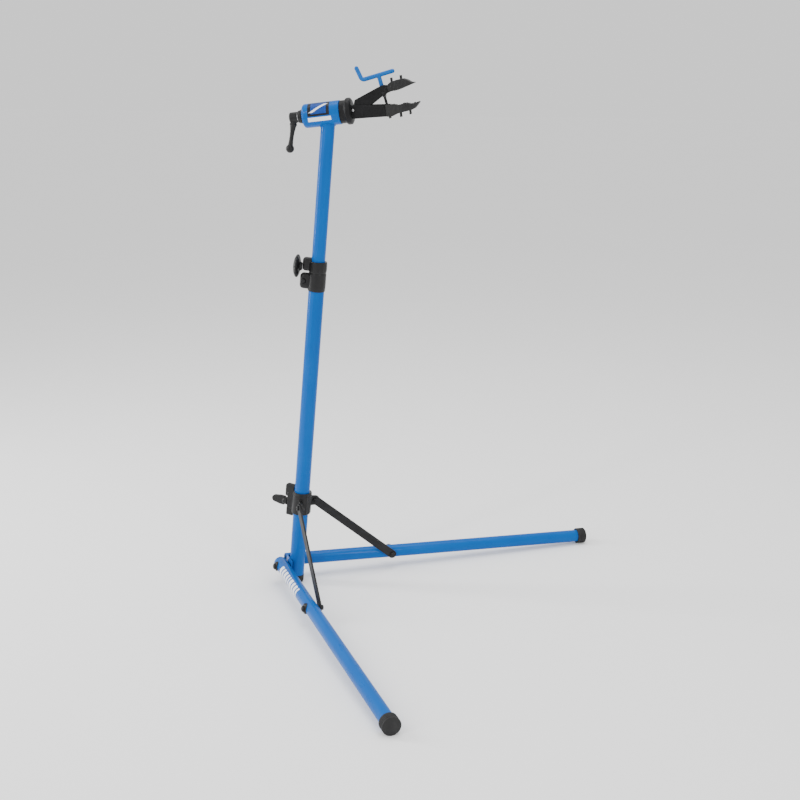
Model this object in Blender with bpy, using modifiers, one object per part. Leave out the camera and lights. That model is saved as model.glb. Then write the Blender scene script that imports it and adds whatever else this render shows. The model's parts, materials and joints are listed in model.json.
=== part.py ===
"""A folding bicycle repair stand.

A leaning two-piece mast stands on a rubber foot and two legs.  The legs hinge on bolts
at the foot of the mast and are propped by two flat struts from a collar that slides up
the mast when the stand is folded.  The upper tube slides and turns in the lower one and
carries a barrel, in which the clamp head turns.  The clamp's upper jaw is closed by a
screw with a bent crank handle.

Lengths are in millimetres and angles in degrees.  The helpers turn them into metres and
radians.  The mast has a frame of its own: its Z runs up the mast's axis and its origin is
where that axis meets the floor.  The other frames hang from it.
"""
import math

import bmesh
import bpy
from mathutils import Matrix, Vector

MM = 0.001
GAP = 0.3                     # clearance between pieces that touch

# the mast
MAST_LEAN = 5.64              # forward lean of the mast
LOWER_TUBE_RADIUS = 22.2
LOWER_TUBE_BORE = 19.9
LOWER_TUBE_BOTTOM = 26.0
LOWER_TUBE_TOP = 942.0
UPPER_TUBE_RADIUS = 19.05
UPPER_TUBE_BORE = 17.1
UPPER_TUBE_BOTTOM = 497.0
FOOT_RADIUS = 22.8

# the legs, which are mirror images in the plane y = 0
LEG_SPLAY = 43.6              # angle of each leg from straight ahead
LEG_RADIUS = 19.05
LEG_BORE = 17.05
LEG_OFFSET = 45.0             # from the mast's axis out to the leg's axis
LEG_PIVOT_HEIGHT = 52.5
LEG_BACK = -26.0
LEG_END = 962.0
LEG_CAP_RADIUS = 24.0
LEG_CAP_LENGTH = 28.0
LEG_CAP_HEIGHT = 23.2         # height of the leg's axis at its far end
FOLDED_ANGLE = 6.0            # between the folded leg and the mast
PIVOT_BOLT_RADIUS = 5.0
BRACKET_INNER = 22.6
BRACKET_OUTER = 25.6

# the struts
STRUT_REACH = 304.0           # along the leg, from its pivot to the strut's bolt
STRUT_TOP_OUT = 44.0          # the upper pin, in front of the mast's axis
STRUT_TOP_HEIGHT = 254.0
STRUT_HALF_WIDTH = 12.5
STRUT_INNER = 17.2            # the two faces of the strut, out from the mast's axis
STRUT_OUTER = 22.4
STRUT_BOLT_RADIUS = 4.0

# the collars
LEG_COLLAR_RADIUS = 28.0
LEG_COLLAR_BORE = 24.8
LEG_COLLAR_BOTTOM = 222.0
LEG_COLLAR_TOP = 289.0
EAR_RADIUS = 15.0
EAR_INNER = 11.3
EAR_OUTER = 16.9
LEG_KNOB_HEIGHT = 246.0
HEIGHT_COLLAR_RADIUS = 24.9
HEIGHT_COLLAR_BOTTOM = 890.0
HEIGHT_COLLAR_TOP = 974.0
HEIGHT_KNOB_BEARING = 200.0   # the way the height knob points, round the mast
HEIGHT_KNOB_HEIGHT = 955.5
HEIGHT_KNOB_RADIUS = 32.5

# the head
HEAD_HEIGHT = 1377.4          # where the barrel's axis crosses the mast's
HEAD_SWIVEL = 17.3
HEAD_RISE = 12.0              # of the barrel above square to the mast
BARREL_RADIUS = 32.0
BARREL_BORE = 28.0
BARREL_BACK = -70.0
BARREL_FRONT = 33.0
SPINDLE_RADIUS = 12.0

# the clamp, in the head's x and z
JAW_HINGE = (70.0, 1.4)
SCREW_ARM = 92.0              # from the jaw's hinge to either pin of the screw
NUT_ANGLE = -3.5
TRUNNION_ANGLE = 22.5
JAW_HALF_WIDTH = 13.0
CHANNEL_HALF_WIDTH = 17.0
CHANNEL_INNER = 14.0
PAD_HALF_WIDTH = 18.0
SCREW_RADIUS = 4.0
HANDLE_RADIUS = 5.7
HANDLE_HEIGHT = 47.6
HANDLE_FRONT = 44.5           # the bar's straight end, from the screw's axis
HANDLE_BACK = 39.0            # the start of the bend
HANDLE_BEND = 9.0
HANDLE_TURNED_UP = 32.0

STEPS = 24                    # facets round a tube
SMALL_STEPS = 12              # facets round a bolt


def start_scene():
    """Empty the scene and make the two collections."""
    for obj in list(bpy.data.objects):
        bpy.data.objects.remove(obj, do_unlink=True)
    collections = []
    for name in ("bike_repair_stand", "cutters"):
        collection = bpy.data.collections.new(name)
        bpy.context.scene.collection.children.link(collection)
        collections.append(collection)
    return collections


PARTS, CUTTERS = start_scene()


def principled(name, colour, roughness, metallic=0.0):
    material = bpy.data.materials.new(name)
    material.use_nodes = True
    shader = material.node_tree.nodes["Principled BSDF"]
    shader.inputs["Base Color"].default_value = (*colour, 1.0)
    shader.inputs["Roughness"].default_value = roughness
    shader.inputs["Metallic"].default_value = metallic
    return material


FINISHES = {
    "blue_paint": ((0.005, 0.16, 0.52), 0.3, 0.0),
    "black_plastic": ((0.02, 0.02, 0.022), 0.5, 0.0),
    "black_metal": ((0.03, 0.03, 0.033), 0.4, 0.6),
    "rubber": ((0.018, 0.018, 0.018), 0.8, 0.0),
    "steel": ((0.55, 0.55, 0.56), 0.35, 1.0),
    "black_steel": ((0.05, 0.05, 0.055), 0.35, 0.9),
    "nylon": ((0.5, 0.5, 0.48), 0.5, 0.0),
    "blue_vinyl": ((0.004, 0.15, 0.5), 0.4, 0.0),
}


def frame(name, parent, place):
    """An empty that other objects hang from."""
    empty = bpy.data.objects.new(name, None)
    PARTS.objects.link(empty)
    empty.empty_display_size = 0.03
    empty.parent = parent
    empty.matrix_local = place
    return empty


def turn(angle, axis):
    return Matrix.Rotation(math.radians(angle), 4, axis)


def shift(x, y, z):
    return Matrix.Translation(Vector((x, y, z)) * MM)


def add(name, mesh, finish, parent, place):
    """Put a mesh in the scene as a part, or as a cutter when finish is None."""
    obj = bpy.data.objects.new(name, mesh)
    obj.parent = parent
    obj.matrix_local = place
    if finish is None:
        CUTTERS.objects.link(obj)
        obj.hide_render = True
        obj.display_type = "WIRE"
        return obj
    PARTS.objects.link(obj)
    if finish not in bpy.data.materials:
        colour, roughness, metallic = FINISHES[finish]
        principled(finish, colour, roughness, metallic)
    mesh.materials.append(bpy.data.materials[finish])
    return obj


def smooth(mesh, angle=35):
    mesh.shade_smooth()
    mesh.set_sharp_from_angle(angle=math.radians(angle))


def turned(name, profile, finish, parent, place=Matrix(), steps=SMALL_STEPS, closed=False):
    """A turned piece about local Z.  The profile is (radius, height), down its outer side."""
    mesh = bpy.data.meshes.new(name)
    points = [(radius * MM, 0.0, height * MM) for radius, height in profile]
    edges = [(i, i + 1) for i in range(len(points) - 1)]
    if closed:
        edges.append((len(points) - 1, 0))
    mesh.from_pydata(points, edges, [])
    obj = add(name, mesh, finish, parent, place)
    screw = obj.modifiers.new("turn", "SCREW")
    screw.steps = steps
    screw.render_steps = steps
    screw.use_merge_vertices = True
    screw.merge_threshold = 0.00001
    screw.use_smooth_shade = True
    return obj


def pipe(name, outer, inner, low, high, finish, parent, place=Matrix(), steps=SMALL_STEPS):
    profile = [(inner, high), (outer, high), (outer, low), (inner, low)]
    return turned(name, profile, finish, parent, place, steps, closed=True)


def disc(name, radius, low, high, finish, parent, place=Matrix(), steps=SMALL_STEPS):
    profile = [(0, high), (radius, high), (radius, low), (0, low)]
    return turned(name, profile, finish, parent, place, steps)


def box(name, low, high, finish, parent, place=Matrix(), bevel=0.0, segments=2):
    """A block between two corners, with its edges rounded by the bevel."""
    mesh = bpy.data.meshes.new(name)
    shape = bmesh.new()
    size = [(b - a) * MM for a, b in zip(low, high)]
    centre = [(a + b) / 2 * MM for a, b in zip(low, high)]
    placed = Matrix.Translation(centre) @ Matrix.Diagonal((*size, 1.0))
    bmesh.ops.create_cube(shape, size=1.0, matrix=placed)
    shape.to_mesh(mesh)
    shape.free()
    obj = add(name, mesh, finish, parent, place)
    round_edges(obj, bevel, segments)
    return obj


def round_edges(obj, width, segments=2, angle=40):
    if width > 0:
        bevel = obj.modifiers.new("round", "BEVEL")
        bevel.width = width * MM
        bevel.segments = segments
        bevel.limit_method = "ANGLE"
        bevel.angle_limit = math.radians(angle)


def mesh_of_curve(name, curve):
    """The welded mesh of a curve, which is then removed."""
    obj = bpy.data.objects.new(name, curve)
    PARTS.objects.link(obj)
    bpy.context.view_layer.update()
    graph = bpy.context.evaluated_depsgraph_get()
    mesh = bpy.data.meshes.new_from_object(obj.evaluated_get(graph))
    bpy.data.objects.remove(obj)
    bpy.data.curves.remove(curve)
    mesh.name = name
    mesh.materials.clear()
    shape = bmesh.new()
    shape.from_mesh(mesh)
    bmesh.ops.remove_doubles(shape, verts=shape.verts, dist=0.00001)
    bmesh.ops.recalc_face_normals(shape, faces=shape.faces)
    shape.to_mesh(mesh)
    shape.free()
    return mesh


def plate(name, outline, low, high, finish, parent, place=Matrix(), bevel=0.0):
    """A flat outline in local X and Y, from height low to height high."""
    curve = bpy.data.curves.new(name, "CURVE")
    curve.dimensions = "2D"
    curve.fill_mode = "BOTH"
    curve.extrude = (high - low) / 2 * MM
    spline = curve.splines.new("POLY")
    spline.points.add(len(outline) - 1)
    for point, (x, y) in zip(spline.points, outline):
        point.co = (x * MM, y * MM, 0.0, 1.0)
    spline.use_cyclic_u = True
    mesh = mesh_of_curve(name, curve)
    obj = add(name, mesh, finish, parent, place @ shift(0, 0, (low + high) / 2))
    round_edges(obj, bevel)
    return obj


def side_plate(name, outline, half_width, finish, parent, bevel=0.0):
    """An outline in the parent's X and Z, given its width along Y."""
    return plate(name, outline, -half_width, half_width, finish, parent, turn(90, "X"), bevel)


def rod(name, route, radius, finish, parent, place=Matrix(), bevel=0.0):
    """A round bar along a route of points."""
    curve = bpy.data.curves.new(name, "CURVE")
    curve.dimensions = "3D"
    curve.bevel_depth = radius * MM
    curve.bevel_resolution = 3
    curve.use_fill_caps = True
    spline = curve.splines.new("POLY")
    spline.points.add(len(route) - 1)
    for point, place_of in zip(spline.points, route):
        point.co = (*(Vector(place_of) * MM), 1.0)
    mesh = mesh_of_curve(name, curve)
    obj = add(name, mesh, finish, parent, place)
    round_edges(obj, bevel, 3, 60)
    smooth(mesh, 50)
    return obj


def boolean(target, tool, operation):
    if tool.name not in CUTTERS.objects:
        raise ValueError(tool.name + " isn't a cutter")
    step = target.modifiers.new(tool.name, "BOOLEAN")
    step.operation = operation
    step.solver = "EXACT"
    step.object = tool


def cut(target, *tools):
    for tool in tools:
        boolean(target, tool, "DIFFERENCE")


def join(target, *tools):
    for tool in tools:
        boolean(target, tool, "UNION")


def arc(centre, radius, start, end, count):
    """Points on an arc, from one angle to the other."""
    points = []
    for i in range(count + 1):
        angle = math.radians(start + (end - start) * i / count)
        points.append((centre[0] + radius * math.cos(angle), centre[1] + radius * math.sin(angle)))
    return points


def bearing(angle):
    """A frame whose Z points out from the mast's axis at a bearing, and X up the mast."""
    return turn(angle, "Z") @ Matrix(((0, 0, 1, 0), (0, 1, 0, 0), (-1, 0, 0, 0), (0, 0, 0, 1)))


# frames ------------------------------------------------------------------------------

MAST = frame("mast_frame", None, turn(MAST_LEAN, "Y"))


def leg_tilt():
    """The leg's rise from square to the mast that sets its far end at its height."""
    lean = math.radians(MAST_LEAN)
    along_leg = -math.sin(lean) * math.cos(math.radians(LEG_SPLAY))
    up_mast = math.cos(lean)
    out = -math.sin(lean) * math.cos(math.radians(LEG_SPLAY + 90))
    start = LEG_PIVOT_HEIGHT * up_mast + LEG_OFFSET * out
    fall = (LEG_CAP_HEIGHT - start) / LEG_END
    reach = math.hypot(along_leg, up_mast)
    return math.degrees(math.asin(fall / reach) - math.atan2(along_leg, up_mast))


LEG_TILT = leg_tilt()
SIDES = {"right": -1, "left": 1}


def leg_plane(side):
    """The mast's frame turned so that X runs the way the leg splays."""
    return turn(side * LEG_SPLAY, "Z")


LEG_FRAMES = {
    name: frame(name + "_leg_frame", MAST,
                leg_plane(side) @ shift(0, 0, LEG_PIVOT_HEIGHT) @ turn(-LEG_TILT, "Y"))
    for name, side in SIDES.items()
}


def strut_bolt_place():
    """Out from the mast's axis and up it, in the leg's plane."""
    tilt = math.radians(LEG_TILT)
    return (STRUT_REACH * math.cos(tilt), LEG_PIVOT_HEIGHT + STRUT_REACH * math.sin(tilt))


BOLT_OUT, BOLT_HEIGHT = strut_bolt_place()
STRUT_LENGTH = math.hypot(BOLT_OUT - STRUT_TOP_OUT, STRUT_TOP_HEIGHT - BOLT_HEIGHT)
STRUT_SLOPE = math.degrees(math.atan2(STRUT_TOP_HEIGHT - BOLT_HEIGHT, BOLT_OUT - STRUT_TOP_OUT))

STRUT_FRAMES = {
    name: frame(name + "_strut_frame", MAST,
                leg_plane(side) @ shift(STRUT_TOP_OUT, 0, STRUT_TOP_HEIGHT)
                @ turn(STRUT_SLOPE, "Y"))
    for name, side in SIDES.items()
}

HEAD = frame("head_frame", MAST,
             shift(0, 0, HEAD_HEIGHT) @ turn(HEAD_SWIVEL, "Z") @ turn(-HEAD_RISE, "Y"))


def pin_place(angle):
    """A screw pin's x and z in the head's frame."""
    spread = math.radians(angle)
    return (JAW_HINGE[0] + SCREW_ARM * math.cos(spread),
            JAW_HINGE[1] + SCREW_ARM * math.sin(spread))


NUT = pin_place(NUT_ANGLE)
TRUNNION = pin_place(TRUNNION_ANGLE)
SCREW_TILT = -(NUT_ANGLE + TRUNNION_ANGLE) / 2
UPPER_JAW = frame("upper_jaw_frame", HEAD, shift(JAW_HINGE[0], 0, JAW_HINGE[1]))
SCREW = frame("screw_frame", HEAD, shift(TRUNNION[0], 0, TRUNNION[1]) @ turn(SCREW_TILT, "Y"))
NUT_FRAME = frame("nut_frame", HEAD, shift(NUT[0], 0, NUT[1]) @ turn(SCREW_TILT, "Y"))
HEIGHT_KNOB = frame("height_knob_frame", MAST,
                    shift(0, 0, HEIGHT_KNOB_HEIGHT) @ bearing(HEIGHT_KNOB_BEARING))
LEG_KNOB = frame("leg_collar_knob_frame", MAST, shift(0, 0, LEG_KNOB_HEIGHT) @ bearing(180))
BARREL_WAY = turn(90, "Y")    # local Z along the barrel's axis


def sideways(side):
    """Local Z out across the leg, away from the mast."""
    return turn(-90 * side, "X")


# mast and foot -----------------------------------------------------------------------

def bolt_holes(name, radius, low, high):
    """One hole each side of the mast, on the legs' pivots."""
    return [
        disc(name + "_" + word, radius, low, high, None, MAST,
             shift(0, 0, LEG_PIVOT_HEIGHT) @ leg_plane(side) @ sideways(side))
        for word, side in SIDES.items()
    ]


def floor_cutter(name):
    """Everything just below the floor."""
    return box(name, (-200, -900, -60), (900, 900, 0), None, None)


def make_mast():
    tube = pipe("lower_tube", LOWER_TUBE_RADIUS, LOWER_TUBE_BORE, LOWER_TUBE_BOTTOM,
                LOWER_TUBE_TOP, "blue_paint", MAST, steps=STEPS)
    cut(tube, *bolt_holes("tube_hole", PIVOT_BOLT_RADIUS + 0.4, 12, 30))
    spigot = LOWER_TUBE_BORE - 0.4
    shoulder = LOWER_TUBE_BOTTOM - GAP
    foot = turned("mast_foot", [
        (0, 36), (spigot - 1, 36), (spigot, 34), (spigot, shoulder),
        (FOOT_RADIUS, shoulder), (FOOT_RADIUS, 8), (FOOT_RADIUS - 1.5, 4), (19.5, -6), (0, -6),
    ], "rubber", MAST, steps=STEPS)
    cut(foot, floor_cutter("mast_floor"))
    block = disc("pivot_block", spigot, 39, 66, "steel", MAST, steps=STEPS)
    cut(block, *bolt_holes("block_hole", PIVOT_BOLT_RADIUS + 0.35, 6, 30))


def make_base_bracket():
    """A bent plate round the back of the mast, between it and the legs."""
    splay = math.radians(LEG_SPLAY)

    def corner(out, across, side):
        return (out * math.cos(splay) - across * math.sin(splay),
                side * (out * math.sin(splay) + across * math.cos(splay)))

    front = 27.0
    outline = []
    for across, sides in ((BRACKET_OUTER, (1, -1)), (BRACKET_INNER, (-1, 1))):
        back = -across / math.tan(splay)
        for index, side in enumerate(sides):
            if index == 1:
                outline.append(corner(back, across, side))
            outline.append(corner(front, across, side))
    bracket = plate("base_bracket", outline, 28, 77, "blue_paint", MAST)
    cut(bracket, *bolt_holes("bracket_hole", PIVOT_BOLT_RADIUS + 0.4, 15, 40))


# legs and struts ---------------------------------------------------------------------

def saddle_washer(name, parent, place, radius, hole, leg_axis):
    """A washer hollowed to sit on the tube."""
    washer = pipe(name, radius, hole, LEG_OFFSET + 11, LEG_OFFSET + 21.9, "black_plastic",
                  parent, place)
    cut(washer, disc(name + "_seat", LEG_RADIUS + GAP, -40, 40, None, parent, leg_axis,
                     steps=STEPS))
    return washer


def make_leg(word, side):
    leg = LEG_FRAMES[word]
    axis = shift(0, side * LEG_OFFSET, 0) @ BARREL_WAY
    outward = sideways(side)
    at_strut = shift(STRUT_REACH, 0, 0) @ outward
    tube_end = LEG_END - 4.5
    tube = pipe(word + "_leg_tube", LEG_RADIUS, LEG_BORE, LEG_BACK, tube_end, "blue_paint",
                leg, axis, steps=STEPS)
    cut(tube,
        disc(word + "_pivot_hole", PIVOT_BOLT_RADIUS + 0.4, 10, 90, None, leg, outward),
        disc(word + "_strut_hole", STRUT_BOLT_RADIUS + 0.3, 10, 90, None, leg, at_strut))
    lip = LEG_END - LEG_CAP_LENGTH
    cap = turned(word + "_leg_cap", [
        (0, LEG_END), (LEG_CAP_RADIUS - 2.5, LEG_END), (LEG_CAP_RADIUS, LEG_END - 2.5),
        (LEG_CAP_RADIUS, lip + 1.5), (LEG_CAP_RADIUS - 1.5, lip), (LEG_RADIUS + GAP, lip),
        (LEG_RADIUS + GAP, LEG_END - 4.2), (0, LEG_END - 4.2),
    ], "rubber", leg, axis, steps=STEPS)
    cut(cap, floor_cutter(word + "_cap_floor"))
    disc(word + "_leg_plug", LEG_BORE - 0.4, LEG_BACK + 0.5, LEG_BACK + 14, "black_plastic",
         leg, axis, steps=STEPS)
    pipe(word + "_pivot_bush", 8.5, PIVOT_BOLT_RADIUS + 0.3, LEG_OFFSET - 14, LEG_OFFSET + 14,
         "nylon", leg, outward)
    saddle_washer(word + "_pivot_washer", leg, outward, 14, PIVOT_BOLT_RADIUS + 0.3,
                  shift(0, side * LEG_OFFSET, 0) @ BARREL_WAY)
    saddle_washer(word + "_strut_washer", leg, at_strut, 15, STRUT_BOLT_RADIUS + 0.3,
                  shift(STRUT_REACH, side * LEG_OFFSET, 0) @ BARREL_WAY)
    seat = LEG_OFFSET + 22.2
    bolt("strut_bolt", word, STRUT_BOLT_RADIUS, STRUT_OUTER + 0.7, seat, 9, leg, at_strut)


def bolt(kind, word, radius, low, seat, head_radius, parent, place):
    """A domed bolt: its shank runs from low to the seat, with the head beyond."""
    return turned(word + "_" + kind, [
        (0, seat + 6), (head_radius * 0.6, seat + 5.6), (head_radius * 0.9, seat + 3.8),
        (head_radius, seat + 2), (head_radius, seat), (radius, seat), (radius, low), (0, low),
    ], "black_steel", parent, place)


def make_pivot_bolt(word, side):
    seat = LEG_OFFSET + 22.2
    place = shift(0, 0, LEG_PIVOT_HEIGHT) @ leg_plane(side) @ sideways(side)
    bolt("pivot_bolt", word, PIVOT_BOLT_RADIUS, 6.4, seat, 9.5, MAST, place)


def make_strut(word, side):
    strut = STRUT_FRAMES[word]
    ends = arc((0, 0), STRUT_HALF_WIDTH, 90, 270, 8)
    ends += arc((STRUT_LENGTH, 0), STRUT_HALF_WIDTH, -90, 90, 8)
    outward = sideways(side)
    flat = shift(0, side * (STRUT_INNER + STRUT_OUTER) / 2, 0) @ turn(90, "X")
    half = (STRUT_OUTER - STRUT_INNER) / 2
    bar = plate(word + "_strut", ends, -half, half, "black_steel", strut, flat)
    at_leg = shift(STRUT_LENGTH, 0, 0) @ outward
    hole = STRUT_BOLT_RADIUS + 0.3
    cut(bar,
        disc(word + "_top_hole", hole, 10, 30, None, strut, outward),
        disc(word + "_foot_hole", hole, 10, 30, None, strut, at_leg))
    inner = STRUT_INNER - GAP
    turned(word + "_strut_nut", [
        (0, STRUT_OUTER + 0.3), (STRUT_BOLT_RADIUS, STRUT_OUTER + 0.3),
        (STRUT_BOLT_RADIUS, inner), (8, inner), (8, inner - 5), (6, inner - 6.5),
        (0, inner - 6.5),
    ], "black_steel", strut, at_leg)


# leg collar --------------------------------------------------------------------------

def make_leg_collar():
    middle = (LEG_COLLAR_BOTTOM + LEG_COLLAR_TOP) / 2
    body = turned("leg_collar", [
        (0, LEG_COLLAR_TOP), (LEG_COLLAR_RADIUS - 1.5, LEG_COLLAR_TOP),
        (LEG_COLLAR_RADIUS, LEG_COLLAR_TOP - 1.5), (LEG_COLLAR_RADIUS, middle),
        (LEG_COLLAR_RADIUS, LEG_COLLAR_BOTTOM + 1.5),
        (LEG_COLLAR_RADIUS - 1.5, LEG_COLLAR_BOTTOM), (0, LEG_COLLAR_BOTTOM),
    ], "black_plastic", MAST, steps=STEPS)
    for word, side in SIDES.items():
        plane = leg_plane(side) @ shift(0, side * (EAR_INNER + EAR_OUTER) / 2, 0) @ turn(90, "X")
        outline = [(12, STRUT_TOP_HEIGHT - EAR_RADIUS)]
        outline += arc((STRUT_TOP_OUT, STRUT_TOP_HEIGHT), EAR_RADIUS, -90, 90, 10)
        outline += [(12, STRUT_TOP_HEIGHT + EAR_RADIUS)]
        half = (EAR_OUTER - EAR_INNER) / 2
        join(body, plate(word + "_ear", outline, -half, half, None, MAST, plane))
    # the lug above the knob, the boss that takes its stud and the stub below it
    join(body,
         box("collar_lug", (-53, -10, 264), (-10, 10, 303), None, MAST, bevel=6),
         box("collar_boss", (-43.6, -12.4, 230.3), (-13, 12.4, 280), None, MAST, bevel=3),
         box("collar_stub", (-46, -8.5, 207), (-16, 8.5, 232.6), None, MAST, bevel=2.6))
    cut(body, disc("collar_bore", LEG_COLLAR_BORE, 190, 320, None, MAST, steps=STEPS))
    for word, side in SIDES.items():
        place = leg_plane(side) @ shift(STRUT_TOP_OUT, 0, STRUT_TOP_HEIGHT) @ sideways(side)
        cut(body, disc(word + "_ear_hole", STRUT_BOLT_RADIUS + 0.3, 5, 30, None, MAST, place))
    cut(body, disc("collar_stud_hole", 5.4, 10, 60, None, LEG_KNOB))
    pipe("leg_collar_bush", LEG_COLLAR_BORE - GAP, LOWER_TUBE_RADIUS + GAP,
         LEG_COLLAR_BOTTOM + 2, LEG_COLLAR_TOP - 2, "nylon", MAST, steps=STEPS)


def make_ear_fasteners(word, side):
    place = leg_plane(side) @ shift(STRUT_TOP_OUT, 0, STRUT_TOP_HEIGHT) @ sideways(side)
    head = STRUT_OUTER + GAP
    turned(word + "_ear_bolt", [
        (0, head + 4), (5, head + 3.6), (7.5, head + 2), (7.5, head),
        (STRUT_BOLT_RADIUS, head), (STRUT_BOLT_RADIUS, 3.5), (0, 3.5),
    ], "black_steel", MAST, place)
    flats = (STRUT_BOLT_RADIUS + GAP) / math.cos(math.radians(30))
    pipe(word + "_ear_nut", 7.5, flats, EAR_INNER - 6.5, EAR_INNER - GAP, "black_steel", MAST,
         place, steps=6)


def make_leg_collar_knob():
    """A flat winged knob on a stud, pointing back from the mast."""
    disc("leg_collar_stud", 5, 25.2, 50, "steel", LEG_KNOB)
    wing = [(-8, 45), (-8, 52), (-13.5, 57), (-13.5, 70), (-10.5, 88)]
    tip = arc((0, 88), 10.5, 180, 0, 8)
    outline = wing[:-1] + tip + [(-x, z) for x, z in reversed(wing[:-1])]
    flat = turn(90, "X")
    knob = plate("leg_collar_knob", outline, -6, 6, "black_plastic", LEG_KNOB, flat, bevel=2.5)
    join(knob, disc("knob_hub", 11, 45, 58, None, LEG_KNOB))
    cut(knob, disc("knob_socket", 5.3, 40, 50.4, None, LEG_KNOB))


# height collar -----------------------------------------------------------------------

def make_height_collar():
    lower_bore = LOWER_TUBE_RADIUS + GAP
    upper_bore = UPPER_TUBE_RADIUS + GAP
    step = LOWER_TUBE_TOP + GAP
    radius = HEIGHT_COLLAR_RADIUS
    body = turned("height_collar", [
        (0, HEIGHT_COLLAR_TOP), (radius - 1, HEIGHT_COLLAR_TOP), (radius, HEIGHT_COLLAR_TOP - 1),
        (radius, step + 3), (radius - 0.8, step + 2.2), (radius - 0.8, step - 1.4),
        (radius, step - 2.2), (radius, HEIGHT_COLLAR_BOTTOM + 12),
        (radius - 1, HEIGHT_COLLAR_BOTTOM), (0, HEIGHT_COLLAR_BOTTOM),
    ], "black_plastic", MAST, steps=STEPS)
    # the knob's boss above and the lug that clamps the lower tube below it
    turned_to = turn(HEIGHT_KNOB_BEARING, "Z")
    join(body,
         box("knob_boss", (12, -11, 945), (43, 11, 983), None, MAST, turned_to, bevel=8),
         box("clamp_lug", (13, -12.3, 894), (48, 12.3, 939), None, MAST, turned_to, bevel=10))
    cut(body,
        disc("lower_bore", lower_bore, 800, step, None, MAST, steps=STEPS),
        disc("upper_bore", upper_bore, 800, 1000, None, MAST, steps=STEPS),
        disc("stud_hole", 5.4, 10, 60, None, HEIGHT_KNOB),
        box("lug_slit", (18, -1.2, 880), (60, 1.2, 940), None, MAST, turned_to))
    across = turned_to @ shift(37, 0, 917) @ turn(90, "X")
    cut(body, disc("screw_hole", 3.4, -20, 20, None, MAST, across))
    turned("collar_screw", [
        (0, 18), (5, 18), (6, 17), (6, 12.4), (3, 12.4), (3, -12.4), (6, -12.4), (6, -16),
        (0, -16),
    ], "black_steel", MAST, across)
    disc("pressure_shoe", 5, UPPER_TUBE_RADIUS + GAP, 25.4, "nylon", HEIGHT_KNOB)


def make_height_knob():
    stud_end = 61.0
    disc("height_knob_stud", 5, 25.7, stud_end, "steel", HEIGHT_KNOB)
    radius = HEIGHT_KNOB_RADIUS
    knob = turned("height_knob", [
        (0, 69), (10, 68.4), (20, 66.6), (28, 63.5), (radius - 1, 60.5), (radius, 58.5),
        (radius - 1, 56.5), (26, 53), (14, 50.5), (11, 46), (10, 44), (0, 44),
    ], "black_plastic", HEIGHT_KNOB, steps=STEPS)
    cut(knob, disc("height_knob_socket", 5.3, 40, stud_end + GAP, None, HEIGHT_KNOB))


# upper mast and barrel ---------------------------------------------------------------

def make_upper_mast():
    tube = pipe("upper_tube", UPPER_TUBE_RADIUS, UPPER_TUBE_BORE, UPPER_TUBE_BOTTOM,
                HEAD_HEIGHT - 20, "blue_paint", MAST, steps=STEPS)
    cut(tube, disc("barrel_seat", BARREL_RADIUS + GAP, -100, 100, None, HEAD, BARREL_WAY,
                   steps=STEPS))
    shoulder = arc((BARREL_RADIUS - 8, BARREL_BACK + 8), 8, 0, -90, 4)
    rear_hole = SPINDLE_RADIUS + 1.0
    inner_back = BARREL_BACK + 5
    turned("barrel", [
        (BARREL_BORE, BARREL_FRONT), (BARREL_RADIUS - 0.8, BARREL_FRONT),
        (BARREL_RADIUS, BARREL_FRONT - 0.8), *shoulder,
        (rear_hole, BARREL_BACK), (rear_hole, inner_back), (BARREL_BORE - 5, inner_back),
        (BARREL_BORE, inner_back + 5),
    ], "blue_paint", HEAD, BARREL_WAY, steps=28, closed=True)
    for name, low, high in (("front_bush", 8, 30), ("rear_bush", -58, -40)):
        pipe(name, BARREL_BORE - GAP, SPINDLE_RADIUS + GAP, low, high, "nylon", HEAD,
             BARREL_WAY, steps=STEPS)
    turned("thrust_washer", [
        (SPINDLE_RADIUS + GAP, BARREL_BACK - GAP), (18, BARREL_BACK - GAP),
        (18.5, BARREL_BACK - 5), (16, BARREL_BACK - 14), (SPINDLE_RADIUS + GAP, BARREL_BACK - 14),
    ], "black_plastic", HEAD, BARREL_WAY, steps=STEPS, closed=True)
    plug_radius = LOWER_TUBE_BORE - 0.4
    spigot = UPPER_TUBE_BORE - GAP
    top = UPPER_TUBE_BOTTOM - GAP
    turned("tube_plug", [
        (0, top + 20), (spigot - 1, top + 20), (spigot, top + 18), (spigot, top),
        (plug_radius, top), (plug_radius, top - 12), (plug_radius - 1.5, top - 14),
        (0, top - 14),
    ], "black_plastic", MAST, steps=STEPS)


def make_lock_lever():
    """The hub on the spindle's end and the arm that hangs from it, with a ball at its end."""
    hub = turned("lock_lever", [
        (0, -86.3), (13, -86.3), (14.5, -88), (14.5, -105), (12, -108.5), (0, -109.5),
    ], "black_plastic", HEAD, BARREL_WAY, steps=24)
    length = 79.0
    ball = 11.5
    profile = [(0, -length - ball)]
    profile += [(x, y) for x, y in arc((0, -length), ball, -70, 50, 7)]
    profile += [(6.2, -length + 20), (5.8, -length + 34), (6.5, -length + 50), (9, -14), (9, 0)]
    profile.append((0, 0))
    profile.reverse()
    arm_place = shift(-97.5, 0, -5) @ turn(16.5, "Y")
    join(hub, turned("lever_arm", profile, None, HEAD, arm_place, steps=16))
    cut(hub, disc("lever_bore", SPINDLE_RADIUS + GAP, -103, -80, None, HEAD, BARREL_WAY,
                  steps=24))


# clamp head --------------------------------------------------------------------------

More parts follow.
